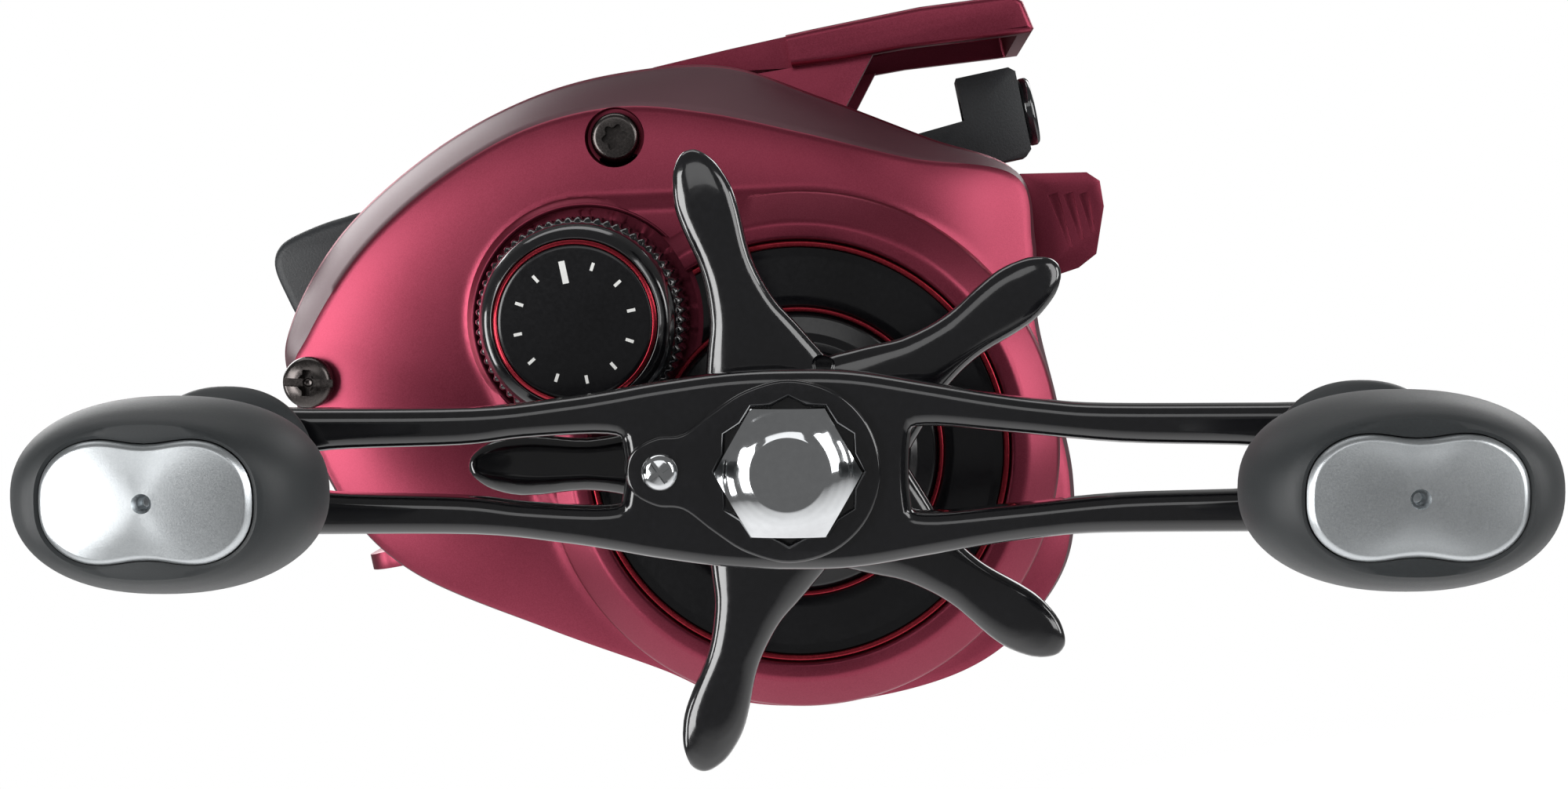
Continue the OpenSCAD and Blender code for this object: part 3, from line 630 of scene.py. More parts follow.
def finish_piece(name: str, bm: bmesh.types.BMesh, node: str, finishes: Sequence[Finish],
                 crease: float = 35.0, replace: bool = True) -> bpy.types.Object:
    """Turn a shape in millimetres into a finished piece on its body.

    Args:
        name: The piece's name.
        bm: The shape, which is used up.
        node: The CAD node whose body it rides on and which it may stand for.
        finishes: Its materials, in slot order.
        crease: Edges that turn more than this many degrees stay crisp.
        replace: Whether the piece stands for that node.

    Returns:
        The new object.
    """
    bmesh.ops.scale(bm, vec=(MM, MM, MM), verts=bm.verts)
    limit = math.radians(crease)
    for face in bm.faces:
        face.smooth = True
    for edge in bm.edges:
        edge.smooth = len(edge.link_faces) == 2 and edge.calc_face_angle(0) < limit
    mesh = bpy.data.meshes.new(name)
    bm.to_mesh(mesh)
    bm.free()
    for finish in finishes:
        mesh.materials.append(finish.material())
    obj = bpy.data.objects.new(name, mesh)
    bpy.context.scene.collection.objects.link(obj)
    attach(obj, frame["nodes"][node]["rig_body"])
    if replace:
        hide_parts(node)
    LOG.info("%s: %d faces", name, len(mesh.polygons))
    return obj


def slot_of(node: str) -> str:
    """Give the record's material slot of a CAD node."""
    return next(s["material_slot"] for s in frame["record"]["subparts"] if s["node"] == node)


def refined(node: str, edge: float, segments: int = 2, finish: Optional[Finish] = None) -> bpy.types.Object:
    """Make a smooth-shaded copy of a CAD node with its sharp edges broken, to stand for it.

    Args:
        node: The CAD node.
        edge: The width of the broken edges in millimetres.
        segments: How many pieces each edge has.
        finish: Its finish, if not the one of its slot.

    Returns:
        The new piece.
    """
    bm = bmesh.new()
    bm.from_mesh(frame["nodes"][node].data)
    bmesh.ops.scale(bm, vec=(1 / MM,) * 3, verts=bm.verts)
    bmesh.ops.remove_doubles(bm, verts=bm.verts, dist=2e-3)
    bmesh.ops.dissolve_limit(bm, angle_limit=math.radians(1.0), verts=bm.verts, edges=bm.edges)
    if edge:
        bevel_sharp(bm, edge, segments)
    bmesh.ops.triangulate(bm, faces=[f for f in bm.faces if len(f.verts) > 4])
    return finish_piece(node + "_piece", bm, node, [finish or SLOT_FINISH[slot_of(node)]])


# ---------------------------------------------------------------- covers


@dataclass
class HandleCover:
    """The painted side cover: a crowned face inside a chamfered edge, a drag boss and a cap pocket."""

    seat_out: float = 15.0
    shoulder_out: float = 17.4
    crown_out: float = 28.9
    boss_out: float = 31.0
    boss_foot_r: float = 22.6
    boss_top_r: float = 19.55
    disc_r: float = 18.2
    disc_floor_out: float = 29.4
    gear_room_r: float = 21.4
    sleeve_bore_r: float = 7.3
    collar_r: float = 10.6
    collar_hole_r: float = 10.1
    pocket_r: float = 9.7
    pocket_out: float = 27.0
    pocket_back_out: float = 25.6
    pinion_room_r: float = 7.5
    neck_bore_r: float = 3.6
    neck_r: float = 6.4
    neck_out: float = 33.4
    rear_head_r: float = 2.32
    rear_head_out: float = 28.0
    step_up: float = 0.95
    wall: float = 1.6
    steps: int = 14
    face_rings: int = 84
    rim: tuple[Point, ...] = (
        (-31.6, 19.3), (-30.2, 25), (-23.8, 32), (-14.5, 37.3), (-5, 40.2), (4, 40.8), (13.5, 39.4),
        (21.6, 34.8), (30.3, 29.2), (37.3, 24.7), (37.8, 18), (36.6, 11.5), (36.8, 4), (36.9, -3),
        (35.4, -9.5), (31.9, -13.9), (26.5, -17.3), (19, -18.6), (10, -18.3), (3, -16.4), (-2.5, -12.6),
        (-12.3, -7.3), (-23.5, 0), (-29, 8),
    )
    face: tuple[Point, ...] = (
        (-28.7, 19.4), (-26.6, 23.4), (-20.6, 29.4), (-13, 33.9), (-4.4, 36.8), (4, 37.1), (11.5, 35),
        (19.5, 31.5), (28, 27.5), (36.9, 24.1), (37.2, 18), (36, 11.5), (36.2, 4), (36.2, -3), (34.7, -9.2),
        (31.3, -13.4), (26, -16.7), (19, -18), (10, -17.7), (3.2, -15.8), (-2.3, -12), (-11.6, -6.3),
        (-22.3, 1.2), (-27, 8.9),
    )
    centre: Point = (3.0, 13.0)

    def height(self, x: float, z: float, edge: float) -> float:
        """Give the face's distance out.

        Args:
            x: The place on the face.
            z: The place on the face.
            edge: 0 at the face's centre, 1 at its edge.

        Returns:
            The distance out.
        """
        dome = self.crown_out - 1.5 * edge**6
        nose = max(0.0, x - 20.0)
        dome -= 0.012 * nose * nose
        inside = min(1.0, max(0.0, (0.35 - self.housing_gap(x, z)) / 1.9))
        step = inside * inside * (3 - 2 * inside)
        return dome - 0.3 + self.step_up * step * (1 - edge**8)

    def housing_gap(self, x: float, z: float) -> float:
        """Give the distance from the hull of the boss's foot and the cap's collar, negative inside it."""
        along = Vector((SPOOL[0] - DRIVE[0], SPOOL[1] - DRIVE[1]))
        span = along.length
        along.normalize()
        here = Vector((x - DRIVE[0], z - DRIVE[1]))
        run, side = here.dot(along), abs(here.x * along.y - here.y * along.x)
        slope = (self.boss_foot_r - self.collar_r) / span
        rise = math.sqrt(1 - slope * slope)
        reach = side * -slope + run * rise
        if reach < 0:
            return math.hypot(run, side) - self.boss_foot_r
        if reach > span * rise:
            return math.hypot(run - span, side) - self.collar_r
        return side * rise + run * slope - self.boss_foot_r

    def ring(self, points: Sequence[Point], out: float, inset: float = 0.0) -> list[Vector]:
        """Give a ring of an outline at one distance out, pulled towards the centre by inset."""
        ring = []
        for x, z in points:
            pull = Vector((self.centre[0] - x, self.centre[1] - z)).normalized() * inset
            ring.append(at(x + pull.x, out, z + pull.y))
        return ring

    def skin(self) -> bmesh.types.BMesh:
        """Build the hollow shell, with its rim, its chamfered edge and its crowned face."""
        rim, face = smooth_loop(self.rim, self.steps), smooth_loop(self.face, self.steps)
        rings = [self.lining(face, edge) for edge in (0.3, 0.6, 0.8, 0.9, 0.945)]
        rings += [
            self.ring(rim, self.shoulder_out + 1.2, self.wall + 0.9),
            self.ring(rim, self.shoulder_out - 0.6, self.wall),
            self.ring(rim, self.seat_out, self.wall),
            self.ring(rim, self.seat_out, 0.15),
            self.ring(rim, self.seat_out + 0.15),
            self.ring(rim, self.shoulder_out - 0.45),
            self.ring(rim, self.shoulder_out - 0.1, 0.06),
            self.ring(rim, self.shoulder_out + 0.1, 0.22),
        ]
        for i in range(1, 9):
            t = i / 8
            ring = []
            for (x0, z0), (x1, z1) in zip(rim, face):
                top = self.height(x1, z1, 1.0)
                low = self.shoulder_out + 0.1
                bulge = 0.3 * math.sin(math.pi * t) - 0.22 * (1 - t)
                x, z = x0 + (x1 - x0) * t, z0 + (z1 - z0) * t
                away = Vector((x - self.centre[0], z - self.centre[1])).normalized() * bulge
                ring.append(at(x + away.x, low + (top - 0.12 - low) * t, z + away.y))
            rings.append(ring)
        for i in range(1, self.face_rings + 1):
            edge = 1 - i / (self.face_rings + 0.6)
            ring = []
            for x1, z1 in face:
                x = self.centre[0] + (x1 - self.centre[0]) * edge
                z = self.centre[1] + (z1 - self.centre[1]) * edge
                ring.append(at(x, self.height(x, z, edge), z))
            rings.append(ring)
        return loft(rings)

    def lining(self, face: Sequence[Point], edge: float) -> list[Vector]:
        """Give a ring of the inner skin, a wall's thickness under the face."""
        ring = []
        for x1, z1 in face:
            x = self.centre[0] + (x1 - self.centre[0]) * edge
            z = self.centre[1] + (z1 - self.centre[1]) * edge
            ring.append(at(x, min(self.height(x, z, edge), self.crown_out) - self.wall, z))
        return ring

    def boss(self) -> bmesh.types.BMesh:
        """Turn the drag boss: flank, narrow rim, inner wall and the floor under the face disc."""
        profile = fillet(
            [(self.sleeve_bore_r, self.disc_floor_out), (self.disc_r, self.disc_floor_out),
             (self.disc_r, self.boss_out - 0.3), (self.disc_r + 0.25, self.boss_out),
             (self.boss_top_r, self.boss_out - 0.03), (self.boss_top_r + 0.35, self.boss_out - 0.2),
             (self.boss_foot_r - 0.2, 28.75), (self.boss_foot_r, 27.6), (self.boss_foot_r - 0.1, 23),
             (21, 22.6), (21, 27.6), (self.sleeve_bore_r, 27.6)], 0.3, closed=True)
        return lathe(profile, DRIVE, 192)

    def collar(self) -> bmesh.types.BMesh:
        """Turn the raised collar and cup round the cast control cap."""
        profile = fillet(
            [(self.pocket_r, self.pocket_out), (self.pocket_r, 29.1), (self.pocket_r + 0.3, 29.35),
             (self.collar_r - 0.05, 28.7), (self.collar_r + 0.5, 27.4),
             (self.collar_r + 0.4, self.pocket_back_out), (self.neck_bore_r, self.pocket_back_out),
             (self.neck_bore_r, self.pocket_out)], 0.2, closed=True)
        return lathe(profile, SPOOL, 144)

    def build(self) -> bpy.types.Object:
        """Assemble the cover and give it its paint, darkened on the chamfered band as painted shade."""
        shell = combine(self.skin(), Join.CUT, cylinder(DRIVE, self.gear_room_r, 20, 40, 128),
                        cylinder(SPOOL, self.collar_hole_r, 20, 40, 128))
        shell = combine(shell, Join.WELD, self.boss(), self.collar())
        top = centre_of("top_cover_screw")
        cutters = [cylinder(SPOOL, self.pocket_r, self.pocket_out, 40, 144),
                   lathe(fillet([(0, 26.5), (2.6, 26.5), (2.6, 28.2), (3.15, 29.2), (3.2, 31), (0, 31)],
                                0.3), top, 72)]
        cutters.append(cylinder(rear_screw_spot(), self.rear_head_r, self.rear_head_out, 31, 72))
        # Room for the pinion behind the pocket, and its way out through the neck
        cutters.append(cylinder(SPOOL, self.pinion_room_r, 12, self.pocket_back_out, 96))
        cutters.append(cylinder(SPOOL, self.neck_bore_r, 12, 40, 72))
        shell = combine(shell, Join.CUT, *cutters)
        neck = lathe([(self.neck_bore_r, 26.2), (self.neck_r, 26.2), (self.neck_r, self.neck_out),
                      (self.neck_bore_r, self.neck_out)], SPOOL, 96)
        shell = combine(shell, Join.WELD, neck)
        # Faces of the chamfered band outside the face get the darkened paint: painted shade on the edge that
        # faces away from the light
        face = smooth_loop(self.face, self.steps)
        for part in shell.faces:
            middle = part.calc_center_median()
            if -middle.y > self.shoulder_out and not within(face, (middle.x, middle.z)):
                part.material_index = 1
        return finish_piece("handle_side_cover_shell", shell, "handle_side_cover", [RED_PAINT, SHADED_BAND_PAINT],
                            30)


def centre_of(node: str) -> Point:
    """Give the middle of a CAD node in x and z."""
    low, high = node_box(node)
    return (low.x + high.x) / 2, (low.z + high.z) / 2


def islands(node: str) -> list[Point]:
    """Give the middle of each separate solid of a CAD node in x and z, from the rear forward."""
    bm = bmesh.new()
    bm.from_mesh(frame["nodes"][node].data)
    bmesh.ops.remove_doubles(bm, verts=bm.verts, dist=2e-6)
    left, spots = set(bm.verts), []
    while left:
        stack, group = [left.pop()], []
        while stack:
            vert = stack.pop()
            group.append(vert.co.copy())
            for edge in vert.link_edges:
                other = edge.other_vert(vert)
                if other in left:
                    left.remove(other)
                    stack.append(other)
        spots.append(tuple((min(c[k] for c in group) + max(c[k] for c in group)) / 2 / MM for k in (0, 2)))
    bm.free()
    return sorted(spots)


def rear_screw_spot() -> Point:
    """Give the place of the slotted cover screw whose head shows on the face, the rearmost one."""
    return islands("slotted_cover_screws")[0]


def inner_screw_spot() -> Point:
    """Give the place of the cover screw that is driven from inside the frame."""
    return islands("slotted_cover_screws")[-1]


@dataclass
class PalmCover:
    """The palm side cover: a smooth dome with the brake dial sunk in its middle."""

    seat_out: float = -15.0
    shade_band_stop: float = 23.5
    steps: int = 10
    rings: int = 40
    rim: tuple[Point, ...] = (
        (-31, 19.3), (-28.8, 25), (-22.1, 31.7), (-13.5, 37.2), (-3, 40.2), (7, 40.6), (13.5, 38.9),
        (21.6, 34.4), (30.3, 28.9), (36.9, 24.6), (38, 18), (34, 9), (24, 1.8), (8, -0.6), (-8, -0.6),
        (-21, 1.6), (-28.4, 9),
    )
    centre: Point = (2.0, 19.5)

    def dome(self, edge: float) -> float:
        """Give the dome's distance out where edge is 0 at the centre and 1 at the rim."""
        return -18.6 - 9.4 * (1 - abs(edge) ** 3.2) ** 0.55

    def build(self) -> list[bpy.types.Object]:
        """Build the dome and its edge band, darkened as painted shade."""
        rim = smooth_loop(self.rim, self.steps)

        def ring(out: float, scale: float, inset: float = 0.0) -> list[Vector]:
            made = []
            for x, z in rim:
                away = Vector((x - self.centre[0], z - self.centre[1]))
                place = away * scale - away.normalized() * inset
                made.append(at(self.centre[0] + place.x, out, self.centre[1] + place.y))
            return made

        rings = [ring(-26, 0.25), ring(-25, 0.6), ring(-21.5, 0.86), ring(-18.6, 1, 1.8),
                 ring(self.seat_out, 1, 1.6),
                 ring(self.seat_out, 1, 0.15), ring(self.seat_out - 0.15, 1), ring(-18.3, 1),
                 ring(-18.6, 1, 0.1)]
        for i in range(1, self.rings):
            edge = 1 - (i / self.rings) ** 1.35
            rings.append(ring(self.dome(edge), edge))
        bm = loft(rings)
        dial_well = cylinder(SPOOL, 9.0, -40, -26.8, 128)
        hole = cylinder(SPOOL, 1.6, -40, -15, 48)
        bm = combine(bm, Join.WELD, cylinder(SPOOL, 10.6, -27.6, -25, 128))
        wells = [cylinder(spot, 2.35, -40, -20.9, 48) for spot in islands("palm_cover_screws")]
        bm = combine(bm, Join.CUT, dial_well, hole, *wells)
        # Faces of the edge band get the darkened paint: painted shade
        for face in bm.faces:
            out = -face.calc_center_median().y
            if -self.shade_band_stop < out < -18.4 and face.normal.y < 0.8:
                face.material_index = 1
        return [finish_piece("palm_side_cover_shell", bm, "palm_side_cover", [RED_PAINT, SHADED_BAND_PAINT], 30)]


# ---------------------------------------------------------------- trim round the drive shaft


@dataclass
class BossTrim:
    """The black face disc, its two red rings and the plate over the clutch."""

    floor_out: float = 29.4
    cap_clear_r: float = 10.2

    def build(self) -> None:
        """Turn each ring, and cut the disc and the outer ring back round the cast control cap."""
        floor = self.floor_out
        disc = fillet([(12.5, floor), (12.5, 30.45), (13.4, 30.62), (16.8, 30.4), (17.56, 30.5),
                       (17.56, floor)], 0.12, closed=True)
        outer = fillet([(17.6, floor), (17.6, 30.8), (17.68, 30.9), (17.98, 30.9), (18.08, 30.8),
                        (18.08, floor)], 0.06, closed=True)
        inner = fillet([(12.05, floor), (12.05, 30.8), (12.12, 30.9), (12.36, 30.9), (12.44, 30.8),
                        (12.44, floor)], 0.05, closed=True)
        plate = fillet([(5.6, 31.3), (5.6, 31.8), (7.4, 31.8), (7.6, 31.55), (8.6, 31.45), (8.8, 31.7),
                        (9.6, 31.6), (10.2, 31.0), (11.6, 30.75), (12.0, 30.5), (12.0, floor), (7.3, floor),
                        (7.3, 31.3)], 0.12, closed=True)
        for name, profile, node, finish in (
            ("drag_face_disc_piece", disc, "drag_face_disc", BLACK_PLATE),
            ("outer_trim_ring_piece", outer, "outer_trim_ring", RED_ANODISED),
        ):
            bm = combine(lathe(profile, DRIVE, 192), Join.CUT, cylinder(SPOOL, self.cap_clear_r, 20, 40, 144))
            finish_piece(name, bm, node, [finish], 30)
        finish_piece("inner_trim_ring_piece", lathe(inner, DRIVE, 160), "inner_trim_ring", [RED_ANODISED])
        finish_piece("clutch_plate_piece", lathe(plate, DRIVE, 128), "clutch_retainer_plate", [BLACK_PLATE])


# ---------------------------------------------------------------- cast control


@dataclass
class CastControl:
    """The knurled cap with its red ring and black face."""

    ridges: int = 64
    ring_out_r: float = 6.95
    ring_in_r: float = 6.5
    face_out: float = 38.0
    marks: int = 12
    mark_tilt: float = 90.0

    def knurl(self) -> bmesh.types.BMesh:
        """Build the ridged skirt, whose ridges fade out at its two ends."""
        rings = []
        count = self.ridges * 6
        for out, depth, r in ((27.6, 0, 8.45), (27.9, 0.05, 8.7), (28.2, 0.36, 8.92), (31, 0.36, 8.92),
                              (34.3, 0.36, 8.92), (34.75, 0.22, 8.75), (35.0, 0.0, 8.4)):
            ring = []
            for i in range(count):
                a = math.tau * i / count
                wave = (0.5 - 0.5 * math.cos(a * self.ridges)) ** 1.5
                rr = r - depth * wave
                ring.append(at(SPOOL[0] + rr * math.cos(a), out, SPOOL[1] + rr * math.sin(a)))
            rings.append(ring)
        return loft(rings)

    def build(self) -> None:
        """Build the cap, its ring, its face and the printed ticks."""
        body = combine(self.knurl(), Join.CUT, cylinder(SPOOL, 6.45, 20, 33.6, 96))
        crown = lathe(fillet([(0, 34.7), (8.3, 34.7), (8.38, 35.3), (8.25, 36.5), (7.75, 37.35),
                              (7.05, 37.75), (self.ring_out_r, 37.7), (self.ring_out_r, 36.9),
                              (0, 36.9)], 0.3), SPOOL, 144)
        body = combine(body, Join.WELD, crown)
        finish_piece("cast_control_cap_body", body, "cast_control_cap", [GLOSS_BLACK], 40)
        ring = fillet([(self.ring_in_r, 36.9), (self.ring_in_r, 37.95), (self.ring_in_r + 0.1, 38.0),
                       (self.ring_out_r - 0.08, 37.78), (self.ring_out_r - 0.02, 36.9)], 0.06, closed=True)
        trim = finish_piece("cast_control_cap_ring", lathe(ring, SPOOL, 144), "cast_control_cap",
                            [RED_ANODISED],
                            replace=False)
        face = lathe(fillet([(0, 37.0), (self.ring_in_r - 0.04, 37.0), (self.ring_in_r - 0.04, 37.9),
                             (self.ring_in_r - 0.3, self.face_out - 0.03), (0, self.face_out - 0.02)], 0.08),
                             SPOOL, 144)
        finish_piece("cast_control_cap_face", face, "cast_control_cap", [BLACK_PLATE], replace=False)
        self.index_marks()

    def index_marks(self) -> None:
        """Print a plain scale of short ticks on the face, one of them long, in place of any lettering."""
        bm = bmesh.new()
        for i in range(self.marks):
            turn = math.tau * i / self.marks + math.radians(self.mark_tilt)
            near, far, half = (3.3, 5.2, 0.26) if i == 0 else (4.5, 5.2, 0.13)
            c, s = math.cos(turn), math.sin(turn)
            bar = [(r * c - w * s + SPOOL[0], r * s + w * c + SPOOL[1])
                   for r, w in ((near, -half), (far, -half), (far, half), (near, half))]
            absorb(bm, slab([bar], self.face_out - 0.06, self.face_out + 0.02, 0.005, 1))
        piece = finish_piece("cast_control_index_marks", bm, "cast_control_cap", [WHITE_INK], replace=False)


# ---------------------------------------------------------------- star drag


@dataclass
class StarDrag:
    """The five-armed star: rounded paddles that flow into a domed hub."""

    arms: int = 5
    first_arm: float = 25.0
    hub_r: float = 8.4
    middle_out: float = 40.6
    sections: tuple[tuple[float, float, float, float], ...] = (
        # radius, half width, half thickness, shift of the middle outwards
        (3.0, 5.6, 1.45, 0.0), (7.0, 5.3, 1.5, 0.0), (9.0, 4.6, 1.5, 0.0), (11.0, 3.75, 1.45, 0.0),
        (12.5, 3.05, 1.4, 0.05), (14.0, 2.6, 1.35, 0.1), (16.0, 2.25, 1.3, 0.15), (18.0, 2.2, 1.25, 0.15),
        (21.0, 2.5, 1.2, 0.15), (23.0, 2.5, 1.15, 0.1), (25.0, 2.0, 1.0, 0.0), (26.1, 1.35, 0.8, -0.05),
        (26.75, 0.7, 0.5, -0.1), (26.95, 0.1, 0.1, -0.1),
    )

    def arm(self, turn: float) -> bmesh.types.BMesh:
        """Loft one arm at an angle, in degrees, from round-cornered sections."""
        rings = []
        for r, half, thick, shift in smooth_rows(self.sections, 5):
            ring = []
            for i in range(28):
                a = math.tau * i / 28
                c, s = math.cos(a), math.sin(a)
                side = half * math.copysign(abs(c) ** 0.7, c)
                rise = thick * math.copysign(abs(s) ** 0.7, s)
                ring.append(Vector((r, -(self.middle_out + shift + rise), side)))
            rings.append(ring)
        bm = loft(rings)
        place = Matrix.Translation(at(DRIVE[0], 0, DRIVE[1])) @ Matrix.Rotation(-math.radians(turn), 4, "Y")
        bmesh.ops.transform(bm, matrix=place, verts=bm.verts)
        return bm

    def build(self) -> None:
        """Weld the arms to the hub, relax the joint and bore it."""
        hub = lathe(fillet([(0, 35), (6.3, 35), (7.4, 37.4), (self.hub_r, 39), (self.hub_r, 41.2), (7, 42.1),
                            (0, 42.2)], 0.6), DRIVE, 96)
        for i in range(self.arms):
            absorb(hub, self.arm(self.first_arm + i * 360 / self.arms))
        body = blended(hub, 0.25, 6)
        cutters = [cylinder(DRIVE, 3.1, 30, 50, 64), slab([circle(DRIVE, 5.25, 6)], 30, 38.0, 0.01, 1)]
        # Shallow dimples between the arms, where the click pins are pressed in
        for i in range(self.arms):
            turn = math.radians(self.first_arm + (i + 0.5) * 360 / self.arms)
            spot = (DRIVE[0] + 8.3 * math.cos(turn), DRIVE[1] + 8.3 * math.sin(turn))
            cutters.append(lathe(fillet([(0, 40.9), (0.75, 40.9), (0.95, 41.6), (0.95, 45), (0, 45)], 0.1),
                                 spot, 32))
        body = combine(body, Join.CUT, *cutters)
        finish_piece("star_drag_casting", body, "star_drag", [GLOSS_BLACK], 50)


# ---------------------------------------------------------------- handle


@dataclass
class Handle:
    """The twin-beam arm with its nut, retainer and the retainer's screw."""

    start_out: float = 46.0
    stop_out: float = 50.0
    edge: float = 1.1
    end_r: float = 5.1
    half_heights: tuple[Point, ...] = (
        (-38, 5.0), (-25, 5.05), (-18, 5.75), (-14, 6.35), (-10.6, 6.95), (-5, 7.7), (0, 7.9), (5, 7.75),
        (10.6, 6.85), (15.5, 6.0), (20, 5.4), (25, 5.05), (38, 5.0),
    )

    def outline(self) -> list[Point]:
        """Give the arm's outer outline, x along the handle."""
        half = HANDLE_SPAN / 2
        top = [tuple(p) for p in smooth_rows(self.half_heights, 5)]
        ends = [math.pi / 2 - math.pi * i / 20 for i in range(21)]
        front = [(half + self.end_r * math.cos(a), self.end_r * math.sin(a)) for a in ends]
        rear = [(-half - self.end_r * math.cos(a), -self.end_r * math.sin(a)) for a in ends]
        return top + front + [(x, -z) for x, z in reversed(top)] + rear

    def window(self, start: float, half: float, side: int) -> list[Point]:
        """Give the outline of the gap between two beams.

        Args:
            start: Where it starts, from the handle's centre.
            half: Half its height there.
            side: 1 for the front arm, -1 for the rear.

        Returns:
            Its outline.
        """
        far = HANDLE_SPAN / 2 - 6.2
        corner = [(start + 0.2, -half + 1.2), (start + 0.2, half - 1.2), (start + 1.3, half - 0.15),
                  (start + 8, (half + 2.2) / 2), (26, 2.05), (far - 1.3, 1.72), (far, 1.0), (far, -1.0),
                  (far - 1.3, -1.72), (26, -2.05), (start + 8, -(half + 2.2) / 2),
                  (start + 1.3, -half + 0.15)]
        return [(side * x, z) for x, z in smooth_loop(corner, 5)]

    def arm(self) -> None:
        """Cut the arm with its two windows, its rounded edges and its round ends."""
        windows = [self.window(9.3, 3.55, 1), self.window(13.0, 3.0, -1)]
        bm = slab([self.outline(), *windows], self.start_out, self.stop_out, self.edge, 5)
        bm = combine(on_handle(bm), Join.CUT, cylinder(DRIVE, 3.1, 40, 60, 64))
        finish_piece("handle_arm_forging", bm, "handle_arm", [GLOSS_BLACK], 40)

    def nut(self) -> None:
        """Cut the domed nut: a hexagon whose corners are turned back, under a crown with a flat top."""
        hexagon = slab([circle((0, 0), 10 / math.sqrt(3), 6)], self.stop_out, 54.6, 0.12, 2)
        turned = lathe(fillet([(0, self.stop_out), (5.3, self.stop_out), (5.75, self.stop_out + 0.35),
                               (5.8, 52.1), (5.1, 52.6), (4.7, 53.05), (4.1, 53.5), (3.5, 53.82),
                               (2.9, 54.03), (2.6, 54.05), (0, 53.98)], 0.2), (0, 0), 96)
        bm = combine(hexagon, Join.COMMON, turned)
        finish_piece("handle_nut_piece", on_handle(bm), "handle_nut", [CHROME], 25)

    def retainer(self) -> None:
        """Cut the teardrop plate that keeps the nut from turning, and its small cross screw."""
        lobe = (-10.1, 0.0)
        outer = smooth_loop([(7.2, 0), (6.2, 3.66), (3.6, 6.24), (0, 7.2), (-3.4, 6.35), (-6.0, 4.7),
                             (-8.3, 3.0), (-10.4, 2.72), (-12.2, 1.7), (-12.8, 0), (-12.2, -1.7),
                             (-10.4, -2.72), (-8.3, -3.0), (-6.0, -4.7), (-3.4, -6.35), (0, -7.2),
                             (3.6, -6.24), (6.2, -3.66)], 6)
        points = []
        for i in range(24):
            r = 5.84 if i % 2 == 0 else 5.28
            a = math.radians(15 * i)
            points.append((r * math.cos(a), r * math.sin(a)))
        plate = slab([outer, points, circle(lobe, 0.95, 32)], self.stop_out, 50.85, 0.24, 3)
        finish_piece("nut_retainer_plate", on_handle(plate), "nut_retainer", [GLOSS_BLACK], 40)
        head = lathe(fillet([(0, 50.8), (1.45, 50.8), (1.45, 51.1), (1.1, 51.5), (0, 51.7)], 0.2), lobe, 48)
        bar = [(-0.95, -0.17), (0.95, -0.17), (0.95, 0.17), (-0.95, 0.17)]
        for turn in (35, 125):
            c, s = math.cos(math.radians(turn)), math.sin(math.radians(turn))
            cross = [(lobe[0] + x * c - z * s, x * s + z * c) for x, z in bar]
            head = combine(head, Join.CUT, slab([cross], 51.15, 52.5, 0.02, 1))
        finish_piece("retainer_screw_head", on_handle(head), "retainer_screw", [CHROME], 30)


class KnobSide(Enum):
    """Which end of the handle a knob is on at rest."""

    REAR = -1
    FRONT = 1


